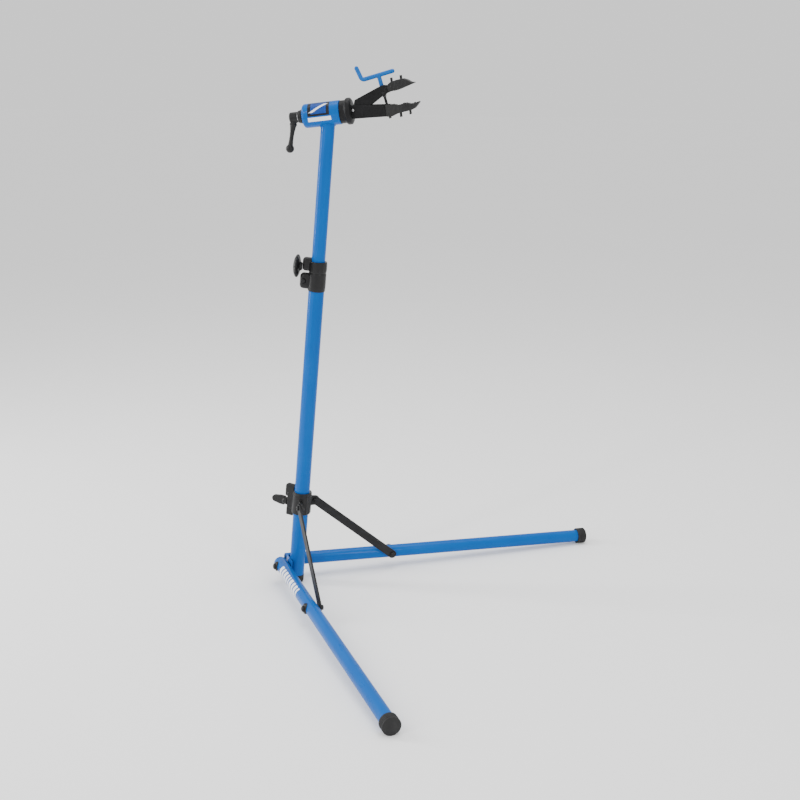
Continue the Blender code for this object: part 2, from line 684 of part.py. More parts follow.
def make_clamp_head():
    disc("head_spindle", SPINDLE_RADIUS, -102.5, 58, "steel", HEAD, BARREL_WAY, steps=24)
    body = turned("fixed_jaw", [
        (0, 66), (29, 66), (34, 62.5), (35.5, 58), (35.5, 54), (34, 50), (30.5, 47),
        (30.5, BARREL_FRONT + 0.5), (0, BARREL_FRONT + 0.5),
    ], "black_metal", HEAD, BARREL_WAY, steps=STEPS)
    channel = [(52, 16.5), (172.2, 5.5), (172.2, -25), (52, -20.5)]
    join(body, side_plate("channel", channel, CHANNEL_HALF_WIDTH, None, HEAD, bevel=1.5))
    blade = [(165, -5), (236, -4), (239, -6.5), (236, -9.5), (165, -11)]
    join(body, side_plate("lower_blade", blade, JAW_HALF_WIDTH, None, HEAD))
    hollow = [(JAW_HINGE[0], -11.6), (169.8, -21.4), (169.8, 45), (JAW_HINGE[0], 45)]
    hinge = shift(JAW_HINGE[0], 0, JAW_HINGE[1]) @ turn(90, "X")
    nut = shift(NUT[0], 0, NUT[1]) @ turn(90, "X")
    cut(body,
        disc("spindle_socket", SPINDLE_RADIUS + GAP, 20, 58.5, None, HEAD, BARREL_WAY, steps=24),
        side_plate("channel_hollow", hollow, CHANNEL_INNER, None, HEAD),
        disc("knuckle_room", 13, -CHANNEL_INNER, CHANNEL_INNER, None, HEAD, hinge, steps=24),
        disc("hinge_hole", 4.3, -30, 30, None, HEAD, hinge),
        disc("nut_hole", 5.1, -30, 30, None, HEAD, nut),
        disc("screw_slot", 8, -40, -8, None, NUT_FRAME))
    for word, low, high in (("near", 17.1, 26), ("far", -26, -17.1)):
        cut(body, disc(word + "_pin_recess", 6.8, low, high, None, HEAD, hinge))
    turned("hinge_pin", [
        (0, 20), (5, 20), (6.2, 18.6), (6.2, 17.4), (4, 17.4), (4, -17.4), (6.2, -17.4),
        (6.2, -18.6), (5, -20), (0, -20),
    ], "steel", HEAD, hinge)


def make_pads():
    """The rubber covers on the two jaws, with the nubs that are pulled through them."""
    lower = [
        (172.7, 4.6), (181, 3.8), (191, 0.8), (199, 2.6), (208, 4.9), (217, 3.6), (226, 0.4),
        (236, 1.0), (246, 4.8), (249, 4.4), (248, 1.5), (243, -4), (235, -11.6), (226, -15),
        (212, -17.2), (194, -19.2), (172.7, -21.6),
    ]
    pad = side_plate("lower_jaw_pad", lower, PAD_HALF_WIDTH, "rubber", HEAD)
    for x, tip in ((177, -31), (195, -30.7), (221, -26.5)):
        join(pad, disc("lower_nub_%d" % x, 2.3, tip, -14, None, HEAD, shift(x, 0, 0), steps=10))
    pocket = [(165, -4.6), (236.2, -3.6), (239.6, -6.5), (236.2, -9.9), (165, -11.4)]
    cut(pad, side_plate("lower_pocket", pocket, JAW_HALF_WIDTH + 0.4, None, HEAD))
    upper = [
        (173, 59), (182, 63.5), (196, 66.5), (212, 68), (222, 64), (229, 59.5), (233, 56.4),
        (241, 55), (242, 53.2), (229, 49.6), (215, 45.5), (201, 41.2), (188, 39.6), (173, 38),
    ]
    pad = side_plate("upper_jaw_pad", upper, PAD_HALF_WIDTH, "rubber", HEAD)
    for x, tip in ((180, 73.5), (206, 77)):
        join(pad, disc("upper_nub_%d" % x, 2.3, 60, tip, None, HEAD, shift(x, 0, 0), steps=10))
    pocket = [(160, 49.6), (224.4, 58), (224.4, 50.8), (160, 42.4)]
    cut(pad, side_plate("upper_pocket", pocket, JAW_HALF_WIDTH - 0.6, None, HEAD))


def make_upper_jaw():
    """The arm, hollow from below, with its knuckle on the hinge and its blade in front."""
    x0, z0 = JAW_HINGE
    knuckle = arc(JAW_HINGE, 11.5, 78, 280, 8)
    outline = [(172.5, 52), (166, 56), (156, 57), (145, 53.5), (77, 27.5), (75.5, 24)]
    outline += knuckle
    outline += [(92, -3), (122, 11.5), (150.5, 29), (160, 34), (172.5, 37)]
    jaw = side_plate("upper_jaw", outline, JAW_HALF_WIDTH, "black_metal", HEAD)
    blade = [(165, 49.6), (224, 57.4), (224, 51.4), (165, 43.6)]
    join(jaw, side_plate("upper_blade", blade, JAW_HALF_WIDTH - 1, None, HEAD))
    hollow = [(86, 26.5), (145, 49.2), (155, 52.8), (167, 51), (168, 20), (150, 0), (86, -20)]
    hinge = shift(x0, 0, z0) @ turn(90, "X")
    trunnion = shift(TRUNNION[0], 0, TRUNNION[1]) @ turn(90, "X")
    cut(jaw,
        side_plate("arm_hollow", hollow, 9.7, None, HEAD),
        disc("arm_hinge_hole", 4.3, -30, 30, None, HEAD, hinge),
        disc("trunnion_hole", 4.9, -30, 30, None, HEAD, trunnion),
        disc("stem_hole", 8.5, 5, 40, None, SCREW))


def make_screw():
    """The trunnion in the arm, the screw in it, its handle, and the nut in the fixed jaw."""
    cross = turn(90, "X")
    hole = SCREW_RADIUS + GAP
    body = turned("jaw_trunnion", [
        (0, 12.6), (4.5, 12.6), (4.5, 9.3), (8, 9.3), (8, -9.3), (4.5, -9.3), (4.5, -12.6),
        (0, -12.6),
    ], "black_steel", SCREW, cross)
    cut(body, disc("trunnion_bore", hole, -20, 20, None, SCREW))
    nut = turned("lower_nut", [
        (0, 16.8), (4.7, 16.8), (4.7, 13.6), (7.5, 13.6), (7.5, -13.6), (4.7, -13.6),
        (4.7, -16.8), (0, -16.8),
    ], "black_steel", NUT_FRAME, cross)
    cut(nut, disc("nut_bore", hole, -20, 20, None, NUT_FRAME))
    turned("clamp_screw", [
        (0, 20), (SCREW_RADIUS, 20), (SCREW_RADIUS, -60.5), (SCREW_RADIUS - 1.5, -62), (0, -62),
    ], "black_steel", SCREW)
    pipe("screw_clip", 6.2, hole, -10.3, -8.4, "black_steel", SCREW)
    stem = turned("crank_handle", [
        (0, HANDLE_HEIGHT), (HANDLE_RADIUS - 0.3, HANDLE_HEIGHT), (HANDLE_RADIUS - 0.3, 10),
        (HANDLE_RADIUS - 1.3, 8.4), (0, 8.4),
    ], "blue_vinyl", SCREW)
    bend_centre = (-HANDLE_BACK, HANDLE_HEIGHT + HANDLE_BEND)
    bend = [(x, 0, z) for x, z in arc(bend_centre, HANDLE_BEND, 270, 190, 5)]
    lean = math.radians(10)
    end = Vector(bend[-1]) + Vector((-math.sin(lean), 0, math.cos(lean))) * HANDLE_TURNED_UP
    route = [(HANDLE_FRONT, 0, HANDLE_HEIGHT), (0, 0, HANDLE_HEIGHT), *bend, tuple(end)]
    join(stem, rod("handle_bar", route, HANDLE_RADIUS, None, SCREW, bevel=3))
    cut(stem, disc("stem_socket", SCREW_RADIUS + GAP, 0, 20.4, None, SCREW))


def weld_cut_edges():
    """Close the hairline edges that a cut can leave."""
    for obj in PARTS.objects:
        if any(step.type == "BOOLEAN" for step in obj.modifiers):
            weld = obj.modifiers.new("weld", "WELD")
            weld.merge_threshold = 0.00002


make_mast()
make_base_bracket()
for part_side, part_sign in SIDES.items():
    make_pivot_bolt(part_side, part_sign)
    make_leg(part_side, part_sign)
    make_strut(part_side, part_sign)
    make_ear_fasteners(part_side, part_sign)
make_leg_collar()
make_leg_collar_knob()
make_height_collar()
make_height_knob()
make_upper_mast()
make_lock_lever()
make_clamp_head()
make_pads()
make_upper_jaw()
make_screw()
weld_cut_edges()
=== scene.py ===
import json
import math

import bmesh
import bpy
from mathutils import Matrix, Vector


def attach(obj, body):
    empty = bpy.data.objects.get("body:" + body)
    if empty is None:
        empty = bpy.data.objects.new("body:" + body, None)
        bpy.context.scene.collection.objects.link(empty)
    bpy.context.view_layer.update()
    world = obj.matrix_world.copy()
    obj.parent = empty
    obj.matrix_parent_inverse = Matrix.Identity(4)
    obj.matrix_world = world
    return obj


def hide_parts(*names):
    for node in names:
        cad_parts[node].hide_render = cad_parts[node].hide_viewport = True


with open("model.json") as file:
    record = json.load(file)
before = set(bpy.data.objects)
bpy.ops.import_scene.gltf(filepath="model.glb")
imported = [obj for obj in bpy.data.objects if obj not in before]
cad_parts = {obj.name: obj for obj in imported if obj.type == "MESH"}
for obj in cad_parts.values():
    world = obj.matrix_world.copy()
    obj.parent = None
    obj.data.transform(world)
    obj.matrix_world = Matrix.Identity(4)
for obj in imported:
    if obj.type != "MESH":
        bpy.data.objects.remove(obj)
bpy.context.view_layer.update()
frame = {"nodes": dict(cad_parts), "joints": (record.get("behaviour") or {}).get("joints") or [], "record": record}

MM = 0.001
RECORD = frame["record"]
BODY_OF = {node: body for body, nodes in RECORD["behaviour"]["bodies"].items() for node in nodes}
JOINTS = {joint["name"]: joint for joint in frame["joints"]}
MOUNTS = {mount["name"]: Vector(mount["pos_m"]) for mount in RECORD["mounts"]}
SIDES = {"right": -1, "left": 1}
SPLAY = 43.6  # how far each leg turns out from straight ahead, in degrees
TOOLS = []


# places ------------------------------------------------------------------------------

def turn(angle, axis):
    return Matrix.Rotation(math.radians(angle), 4, axis)


def shift(x, y, z):
    return Matrix.Translation(Vector((x, y, z)) * MM)


def axes(origin, x, y, z):
    place = Matrix((x, y, z)).transposed().to_4x4()
    place.translation = origin
    return place


def joint_at(name):
    return Vector(JOINTS[name]["pos_m"]), Vector(JOINTS[name]["axis"]).normalized()


def mast_place():
    up = Vector(JOINTS["height_slide"]["axis"]).normalized()
    across = Vector((0, 1, 0))
    return axes(Vector(), across.cross(up), across, up)


MAST = mast_place()
UP_MAST = MAST.to_3x3().col[2]


LEG_CAP_REST = 23.4  # from the floor under a cap to the middle of its tube


def leg_place(word):
    """X along the leg from its pivot, Y to the stand's left, Z up."""
    origin, axis = joint_at(word + "_leg_fold")
    across = -axis
    toe = MOUNTS[word + "_leg_cap"] + Vector((0, 0, LEG_CAP_REST * MM)) - origin
    along = (toe - across * toe.dot(across)).normalized()
    return axes(origin, along, across, along.cross(across))


LEGS = {word: leg_place(word) for word in SIDES}
STRUT_REACH = 304.0


def strut_place(word):
    """X down the strut from its upper pin to its bolt on the leg, and the distance between them."""
    origin, axis = joint_at(word + "_strut_swing")
    across = -axis
    reach = LEGS[word] @ Vector((STRUT_REACH * MM, 0, 0)) - origin
    reach -= across * reach.dot(across)
    along = reach.normalized()
    return axes(origin, along, across, along.cross(across)), reach.length / MM


STRUTS = {word: strut_place(word) for word in SIDES}
HEAD_AT, HEAD_AXIS = joint_at("head_spin")
HEAD_ACROSS = -joint_at("upper_jaw_swing")[1]
HEAD = axes(HEAD_AT, HEAD_AXIS, HEAD_ACROSS, HEAD_AXIS.cross(HEAD_ACROSS))
BARREL_WAY = HEAD @ turn(90, "Y")


def screw_place(name):
    axis = joint_at("crank_turn")[1]
    return axes(joint_at(name)[0], HEAD_ACROSS.cross(axis), HEAD_ACROSS, axis)


SCREW = screw_place("crank_turn")
NUT = screw_place("lower_nut_turn")


def knob_place(name):
    """Z out from the mast along the knob's stud, X up the mast."""
    origin, axis = joint_at(name)
    return axes(origin, UP_MAST, axis.cross(UP_MAST), axis)


HEIGHT_KNOB = knob_place("height_knob_turn")
LEG_KNOB = knob_place("leg_collar_knob_turn")


def sideways(side):
    """Local Z out across the leg, away from the mast."""
    return turn(-90 * side, "X")


def in_head(node_joint):
    """A joint's x and z in the head's frame, in millimetres."""
    spot = HEAD.inverted() @ joint_at(node_joint)[0]
    return spot.x / MM, spot.z / MM


# shapes ------------------------------------------------------------------------------

NEARLY_STRAIGHT = 1.54
MOST_OF_SIDE = 0.48


def rounded(points, radius, closed=False, steps=5):
    """The points as a route with its corners rounded.  The radius is one number or one a point."""
    corners = [Vector((*point, 0.0, 0.0)[:3]) for point in points]
    route = []
    for i, corner in enumerate(corners):
        size = radius[i] if isinstance(radius, (list, tuple)) else radius
        before = corners[i - 1] - corner
        after = corners[(i + 1) % len(corners)] - corner
        at_end = not closed and i in (0, len(corners) - 1)
        half = before.angle(after, math.pi) / 2 if not at_end else math.pi / 2
        if at_end or size <= 0 or half > NEARLY_STRAIGHT:
            route.append(corner)
            continue
        longest = MOST_OF_SIDE * min(before.length, after.length)
        reach = min(size / math.tan(half), longest)
        size = reach * math.tan(half)
        inward = (before.normalized() + after.normalized()).normalized()
        centre = corner + inward * (size / math.sin(half))
        start = corner + before.normalized() * reach - centre
        end = corner + after.normalized() * reach - centre
        sweep = start.angle(end)
        for k in range(steps + 1):
            a = math.sin((1 - k / steps) * sweep)
            b = math.sin(k / steps * sweep)
            route.append(centre + (start * a + end * b) / math.sin(sweep))
    return route


SHARP = math.radians(38)


def solid(name, mesh, place):
    """A finished object from a bmesh."""
    bmesh.ops.remove_doubles(mesh, verts=mesh.verts, dist=1e-7)
    bmesh.ops.recalc_face_normals(mesh, faces=mesh.faces)
    data = bpy.data.meshes.new(name)
    mesh.to_mesh(data)
    mesh.free()
    data.shade_smooth()
    data.set_sharp_from_angle(angle=SHARP)
    obj = bpy.data.objects.new(name, data)
    bpy.context.scene.collection.objects.link(obj)
    obj.matrix_world = place
    return obj


def lathe(name, profile, place, steps=72, radius=0.0, closed=False, shape=None):
    """A turned piece about local Z.  shape changes a radius by its angle and height."""
    mesh = bmesh.new()
    rings = []
    for point in rounded(profile, radius, closed):
        if point.x < 1e-6:
            rings.append([mesh.verts.new((0, 0, point.y * MM))])
            continue
        ring = []
        for k in range(steps):
            angle = 2 * math.pi * k / steps
            r = shape(point.x, angle, point.y) if shape else point.x
            ring.append(mesh.verts.new((r * math.cos(angle) * MM, r * math.sin(angle) * MM,
                                        point.y * MM)))
        rings.append(ring)
    pairs = list(zip(rings, rings[1:]))
    if closed:
        pairs.append((rings[-1], rings[0]))
    for a, b in pairs:
        for k in range(steps):
            j = (k + 1) % steps
            corners = [a[k % len(a)], a[j % len(a)], b[j % len(b)], b[k % len(b)]]
            corners = list(dict.fromkeys(corners))
            if len(corners) > 2:
                mesh.faces.new(corners)
    return solid(name, mesh, place)


def pipe(name, outer, inner, low, high, place, radius=0.4, steps=96):
    return lathe(name, [(inner, high), (outer, high), (outer, low), (inner, low)], place,
                 steps, radius, closed=True)


def disc(name, radius, low, high, place, steps=48, edge=0.0):
    return lathe(name, [(0, high), (radius, high), (radius, low), (0, low)], place, steps, edge)


def prism(name, outline, low, high, place, bevel=0.0, corner=0.0):
    """A flat outline with rounded corners, from low to high along local Z."""
    mesh = bmesh.new()
    route = rounded(outline, corner, closed=True)
    rings = [[mesh.verts.new((p.x * MM, p.y * MM, z * MM)) for p in route] for z in (low, high)]
    for ring in rings:
        mesh.faces.new(ring)
    for k in range(len(route)):
        j = (k + 1) % len(route)
        mesh.faces.new((rings[0][k], rings[0][j], rings[1][j], rings[1][k]))
    obj = solid(name, mesh, place)
    if bevel > 0:
        step = obj.modifiers.new("edge", "BEVEL")
        step.width = bevel * MM
        step.segments = 3
        step.limit_method = "ANGLE"
        step.angle_limit = math.radians(50)
        step.harden_normals = True
        baked(obj)
    return obj


def block(name, low, high, place, bevel=0.0):
    outline = [(low[0], low[1]), (high[0], low[1]), (high[0], high[1]), (low[0], high[1])]
    return prism(name, outline, low[2], high[2], place, bevel)


def side_prism(name, outline, half, bevel=0.0, corner=0.0):
    """An outline in the head's x and z, given its width along y."""
    return prism(name, outline, -half, half, HEAD @ turn(90, "X"), bevel, corner)


def swept(name, route, radii, place, steps=28):
    """A round bar along a route, with a radius at each point."""
    mesh = bmesh.new()
    route = [Vector(point) for point in route]
    normal = None
    rings = []
    for i, point in enumerate(route):
        ahead = route[min(i + 1, len(route) - 1)] - route[max(i - 1, 0)]
        ahead.normalize()
        if normal is None:
            normal = ahead.orthogonal()
        normal = (normal - ahead * normal.dot(ahead)).normalized()
        other = ahead.cross(normal)
        ring = []
        for k in range(steps):
            angle = 2 * math.pi * k / steps
            way = normal * math.cos(angle) + other * math.sin(angle)
            ring.append(mesh.verts.new((point + way * radii[i]) * MM))
        rings.append(ring)
    for a, b in zip(rings, rings[1:]):
        for k in range(steps):
            j = (k + 1) % steps
            mesh.faces.new((a[k], a[j], b[j], b[k]))
    mesh.faces.new(rings[0])
    mesh.faces.new(rings[-1])
    return solid(name, mesh, place)


DOME = [math.radians(6 + 14 * k) for k in range(7)]
SPACING = 1.2


def capsule(route, radius):
    """The route sampled closely, and its radii, with both ends domed."""
    points = [Vector(point) for point in route]
    samples = []
    for a, b in zip(points, points[1:]):
        count = max(1, int((b - a).length / SPACING))
        samples += [a.lerp(b, k / count) for k in range(count)]
    samples.append(points[-1])
    start = (samples[1] - samples[0]).normalized()
    end = (samples[-1] - samples[-2]).normalized()
    inner = [p for p in samples
             if (p - samples[0]).length > radius and (p - samples[-1]).length > radius]
    route, radii = [], []
    for angle in DOME:
        route.append(samples[0] + start * radius * (1 - math.cos(angle)))
        radii.append(radius * math.sin(min(angle, math.pi / 2)))
    route += inner
    radii += [radius] * len(inner)
    for angle in reversed(DOME):
        route.append(samples[-1] - end * radius * (1 - math.cos(angle)))
        radii.append(radius * math.sin(min(angle, math.pi / 2)))
    return route, radii


def baked(obj):
    """obj with its modifiers made part of its mesh."""
    bpy.context.view_layer.update()
    graph = bpy.context.evaluated_depsgraph_get()
    mesh = bpy.data.meshes.new_from_object(obj.evaluated_get(graph))
    obj.modifiers.clear()
    obj.data = mesh
    return obj


def cut(obj, *tools):
    for tool in tools:
        step = obj.modifiers.new(tool.name, "BOOLEAN")
        step.operation = "DIFFERENCE"
        step.solver = "EXACT"
        step.object = tool
        if tool not in TOOLS:
            TOOLS.append(tool)
    baked(obj)
    obj.data.shade_smooth()
    obj.data.set_sharp_from_angle(angle=SHARP)
    return obj


def cast(name, place, solids, tools=(), voxel=0.7, smoothing=6):
    """One moulded piece from overlapping solids, with soft edges and blended joins."""
    whole = bmesh.new()
    for part in solids:
        if tools:
            cut(part, *tools)
        part.data.transform(place.inverted() @ part.matrix_world)
        whole.from_mesh(part.data)
        bpy.data.objects.remove(part)
    obj = solid(name, whole, place)
    remesh = obj.modifiers.new("mould", "REMESH")
    remesh.mode = "VOXEL"
    remesh.voxel_size = voxel * MM
    remesh.use_smooth_shade = True
    soften = obj.modifiers.new("soften", "SMOOTH")
    soften.factor = 0.5
    soften.iterations = smoothing
    baked(obj)
    obj.data.shade_smooth()
    return obj


def above_floor(obj):
    """Cut the piece flat where it stands on the floor."""
    mesh = bmesh.new()
    mesh.from_mesh(obj.data)
    back = obj.matrix_world.inverted()
    geometry = mesh.verts[:] + mesh.edges[:] + mesh.faces[:]
    floor = back @ Vector((0, 0, 0.02 * MM))
    down = (back.to_3x3() @ Vector((0, 0, -1))).normalized()
    made = bmesh.ops.bisect_plane(mesh, geom=geometry, plane_co=floor, plane_no=down,
                                  clear_outer=True)
    rim = [item for item in made["geom_cut"] if isinstance(item, bmesh.types.BMEdge)]
    bmesh.ops.holes_fill(mesh, edges=rim)
    bmesh.ops.recalc_face_normals(mesh, faces=mesh.faces)
    mesh.to_mesh(obj.data)
    mesh.free()
    obj.data.set_sharp_from_angle(angle=SHARP)
    return obj


def arc(centre, radius, start, end, count):
    points = []
    for i in range(count + 1):
        angle = math.radians(start + (end - start) * i / count)
        points.append((centre[0] + radius * math.cos(angle), centre[1] + radius * math.sin(angle)))
    return points


SHEET = 0.12  # thickness of a printed sheet


def patch(name, radius, corners, place):
    """A thin sheet stuck round a tube.  Corners are (distance along local X, bearing)."""
    mesh = bmesh.new()
    (x0, low0), (x1, low1), (x2, high1), (x3, high0) = corners
    columns, rows = 10, 24
    grids = []
    for r in (radius, radius + SHEET):
        grid = []
        for i in range(columns + 1):
            s = i / columns
            line = []
            for j in range(rows + 1):
                t = j / rows
                x = (x0 * (1 - s) + x1 * s) * (1 - t) + (x3 * (1 - s) + x2 * s) * t
                bearing = (low0 * (1 - s) + low1 * s) * (1 - t) + (high0 * (1 - s) + high1 * s) * t
                angle = math.radians(bearing)
                line.append(mesh.verts.new((x * MM, r * math.cos(angle) * MM,
                                            r * math.sin(angle) * MM)))
            grid.append(line)
        grids.append(grid)
    for grid in grids:
        for i in range(columns):
            for j in range(rows):
                mesh.faces.new((grid[i][j], grid[i + 1][j], grid[i + 1][j + 1], grid[i][j + 1]))
    inner, outer = grids
    rim = [(i, 0) for i in range(columns)] + [(columns, j) for j in range(rows)]
    rim += [(i, rows) for i in range(columns, 0, -1)] + [(0, j) for j in range(rows, 0, -1)]
    for (i, j), (k, m) in zip(rim, rim[1:] + rim[:1]):
        mesh.faces.new((inner[i][j], inner[k][m], outer[k][m], outer[i][j]))
    return solid(name, mesh, place)


# finishes ----------------------------------------------------------------------------

class Nodes:
    """A material's node tree, with short calls that add and link nodes."""

    def __init__(self, name, metallic=0.0, coat=0.0, specular=0.5):
        self.material = bpy.data.materials.new(name)
        self.material.use_nodes = True
        self.tree = self.material.node_tree
        self.shader = self.tree.nodes["Principled BSDF"]
        self.shader.inputs["Metallic"].default_value = metallic
        self.shader.inputs["Coat Weight"].default_value = coat
        self.shader.inputs["Coat Roughness"].default_value = 0.12
        self.shader.inputs["Specular IOR Level"].default_value = specular
        self.here = self.add("ShaderNodeTexCoord").outputs["Object"]

    def add(self, kind, **values):
        node = self.tree.nodes.new(kind)
        for key, value in values.items():
            setattr(node, key, value)
        return node

    def set(self, socket, value):
        if isinstance(value, bpy.types.NodeSocket):
            self.tree.links.new(value, socket)
        else:
            socket.default_value = value

    def noise(self, scale, detail=3.0, stretch=(1, 1, 1), rough=0.5):
        where = self.add("ShaderNodeMapping")
        where.inputs["Scale"].default_value = stretch
        self.set(where.inputs["Vector"], self.here)
        node = self.add("ShaderNodeTexNoise")
        node.inputs["Scale"].default_value = scale
        node.inputs["Detail"].default_value = detail
        node.inputs["Roughness"].default_value = rough
        self.set(node.inputs["Vector"], where.outputs["Vector"])
        return node.outputs["Fac"]

    def spread(self, value, low, high, to_low=0.0, to_high=1.0):
        node = self.add("ShaderNodeMapRange")
        for key, number in zip(("From Min", "From Max", "To Min", "To Max"),
                               (low, high, to_low, to_high)):
            node.inputs[key].default_value = number
        self.set(node.inputs["Value"], value)
        return node.outputs["Result"]

    def times(self, a, b):
        node = self.add("ShaderNodeMath", operation="MULTIPLY")
        self.set(node.inputs[0], a)
        self.set(node.inputs[1], b)
        return node.outputs[0]

    def plus(self, a, b):
        node = self.add("ShaderNodeMath", operation="ADD")
        self.set(node.inputs[0], a)
        self.set(node.inputs[1], b)
        return node.outputs[0]

    def mix(self, amount, a, b):
        node = self.add("ShaderNodeMix", data_type="RGBA")
        self.set(node.inputs["Factor"], amount)
        for socket, colour in zip([s for s in node.inputs if s.type == "RGBA"], (a, b)):
            self.set(socket, (*colour, 1.0) if isinstance(colour, tuple) else colour)
        return [s for s in node.outputs if s.type == "RGBA"][0]

    def edges(self, low=0.52, high=0.62):
        """Where the surface is sharply convex: the mask for edge wear that is also painted as a highlight."""
        return self.spread(self.add("ShaderNodeNewGeometry").outputs["Pointiness"], low, high)

    def bump(self, height, strength, distance, after=None):
        node = self.add("ShaderNodeBump")
        node.inputs["Strength"].default_value = strength
        node.inputs["Distance"].default_value = distance
        self.set(node.inputs["Height"], height)
        if after is not None:
            self.set(node.inputs["Normal"], after)
        return node.outputs["Normal"]

    def done(self, colour, roughness, normal):
        self.set(self.shader.inputs["Base Color"], colour)
        self.set(self.shader.inputs["Roughness"], roughness)
        self.set(self.shader.inputs["Normal"], normal)
        return self.material


def painted(name, deep, bright, edge_wear_highlight):
    """Gloss paint: slight orange peel, a little unevenness, and thin wear on sharp edges, painted pale so it also
    stands as a painted edge highlight.
    """
    look = Nodes(name, coat=0.14, specular=0.06)
    cloud = look.spread(look.noise(9.0, 4.0), 0.3, 0.7)
    streak = look.spread(look.noise(60.0, 3.0, (1.0, 1.0, 0.08)), 0.35, 0.7, 0.0, 0.35)
    colour = look.mix(look.plus(look.times(cloud, 0.65), streak), deep, bright)
    # Sharp convex edges are painted paler: partly rub wear, partly a painted highlight where edges catch light.
    speck = look.spread(look.noise(420.0, 5.0, rough=0.7), 0.60, 0.72)
    rubbed_lit_edges = look.times(look.edges(0.56, 0.68), speck)
    colour = look.mix(look.times(rubbed_lit_edges, 0.7), colour, edge_wear_highlight)
    smear = look.noise(34.0, 5.0, (1.0, 1.0, 0.35), 0.65)
    roughness = look.plus(look.spread(smear, 0.3, 0.75, 0.24, 0.36), look.times(rubbed_lit_edges, 0.2))
    peel = look.bump(look.noise(520.0, 2.0), 0.10, 0.0004)
    return look.done(colour, roughness, look.bump(look.noise(90.0, 2.0), 0.05, 0.0012, peel))


def moulded(name, dark, light, rough, grain, strength):
    """Moulded plastic or rubber: a fine stipple, with its edges painted paler, partly as scuffing and partly as a
    painted highlight.
    """
    look = Nodes(name, specular=0.25)
    cloud = look.spread(look.noise(22.0, 4.0), 0.3, 0.7)
    dust = look.spread(look.noise(240.0, 6.0, rough=0.7), 0.5, 0.75, 0.0, 0.45)
    base = look.mix(look.plus(look.times(cloud, 0.6), dust), dark, light)
    # Sharp convex edges are painted toward pale: partly scuffing, partly a painted highlight where edges catch
    # light.
    patchy = look.spread(look.noise(150.0, 5.0), 0.4, 0.65, 0.15, 1.0)
    scuff_and_highlight = look.times(look.edges(0.53, 0.62), patchy)
    pale = tuple(0.014 + 1.7 * part for part in light)
    colour = look.mix(look.times(scuff_and_highlight, 0.55), base, pale)
    roughness = look.spread(look.noise(46.0, 4.0), 0.3, 0.7, rough - 0.09, rough + 0.08)
    stipple = look.bump(look.noise(grain, 2.0, rough=0.6), strength, 0.0003)
    surface = look.bump(look.noise(grain * 0.12, 3.0), 0.08, 0.0012, stipple)
    return look.done(colour, roughness, surface)


def metal(name, dark, light, rough, stretch, metallic=1.0, edge_wear_highlight=None):
    """Bare, plated or blackened metal with fine marks along its making, and, when given an edge colour, edges
    painted paler as wear and as a painted highlight.
    """
    look = Nodes(name, metallic=metallic, specular=0.15)
    cloud = look.spread(look.noise(30.0, 4.0), 0.3, 0.7)
    lines = look.spread(look.noise(260.0, 3.0, stretch, 0.6), 0.35, 0.7, 0.0, 0.6)
    colour = look.mix(look.plus(look.times(cloud, 0.4), lines), dark, light)
    # With an edge colour given, sharp convex edges are painted paler: partly rub wear, partly a painted highlight.
    if edge_wear_highlight:
        patchy = look.spread(look.noise(300.0, 4.0), 0.45, 0.62)
        rubbed_lit_edges = look.times(look.edges(0.54, 0.64), patchy)
        colour = look.mix(look.times(rubbed_lit_edges, 0.8), colour, edge_wear_highlight)
    uneven = look.noise(120.0, 5.0, stretch, 0.6)
    roughness = look.spread(uneven, 0.3, 0.72, rough - 0.08, rough + 0.12)
    marks = look.bump(look.noise(420.0, 3.0, stretch, 0.6), 0.10, 0.0002)
    return look.done(colour, roughness, marks)


FINISH = {
    # The third blue paint colour is the pale edge colour: rub wear, and also a painted edge highlight.
    "blue_paint": painted("blue_gloss_paint", (0.0, 0.078, 0.330), (0.0005, 0.100, 0.385),
                          (0.16, 0.24, 0.34)),
    "black_plastic": moulded("black_moulded_plastic", (0.0060, 0.0060, 0.0064),
                             (0.0125, 0.0125, 0.0130), 0.38, 1400.0, 0.16),
    # The last colour here is the pale edge colour: rub wear, and also a painted edge highlight.
    "black_metal": metal("black_satin_coating", (0.0060, 0.0060, 0.0066), (0.0150, 0.0150, 0.0158),
                         0.40, (1.0, 1.0, 1.0), 0.2, (0.09, 0.09, 0.095)),
    "rubber": moulded("black_rubber", (0.0110, 0.0110, 0.0112), (0.0270, 0.0270, 0.0275),
                      0.64, 900.0, 0.28),
    "steel": metal("zinc_steel", (0.34, 0.34, 0.345), (0.56, 0.56, 0.56), 0.32,
                   (1.0, 1.0, 0.06)),
    # The last colour here is the pale edge colour: rub wear, and also a painted edge highlight.
    "black_steel": metal("blackened_steel", (0.0110, 0.0110, 0.0118), (0.0250, 0.0250, 0.0262),
                         0.42, (0.12, 1.0, 1.0), 0.1, (0.10, 0.10, 0.10)),
    "nylon": moulded("natural_nylon", (0.30, 0.30, 0.28), (0.42, 0.42, 0.40), 0.5, 1100.0, 0.1),
    "blue_vinyl": moulded("blue_dipped_vinyl", (0.0, 0.085, 0.330), (0.0015, 0.115, 0.400),
                          0.34, 260.0, 0.08),
}
LABEL_BLACK = moulded("label_black", (0.0050, 0.0050, 0.0065), (0.0100, 0.0100, 0.0125), 0.34,
                      700.0, 0.05)
LABEL_BLUE = moulded("label_blue", (0.0008, 0.030, 0.200), (0.0015, 0.065, 0.320), 0.34,
                     700.0, 0.05)
LABEL_WHITE = moulded("label_white", (0.78, 0.79, 0.80), (0.88, 0.88, 0.89), 0.40, 700.0, 0.05)
SLOT_OF = {part["node"]: part["material_slot"] for part in RECORD["subparts"]}


def show(obj, node):
    """The piece stands for the node: it takes the node's finish and moves with its body."""
    trim(obj, BODY_OF[node], SLOT_OF[node])
    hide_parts(node)


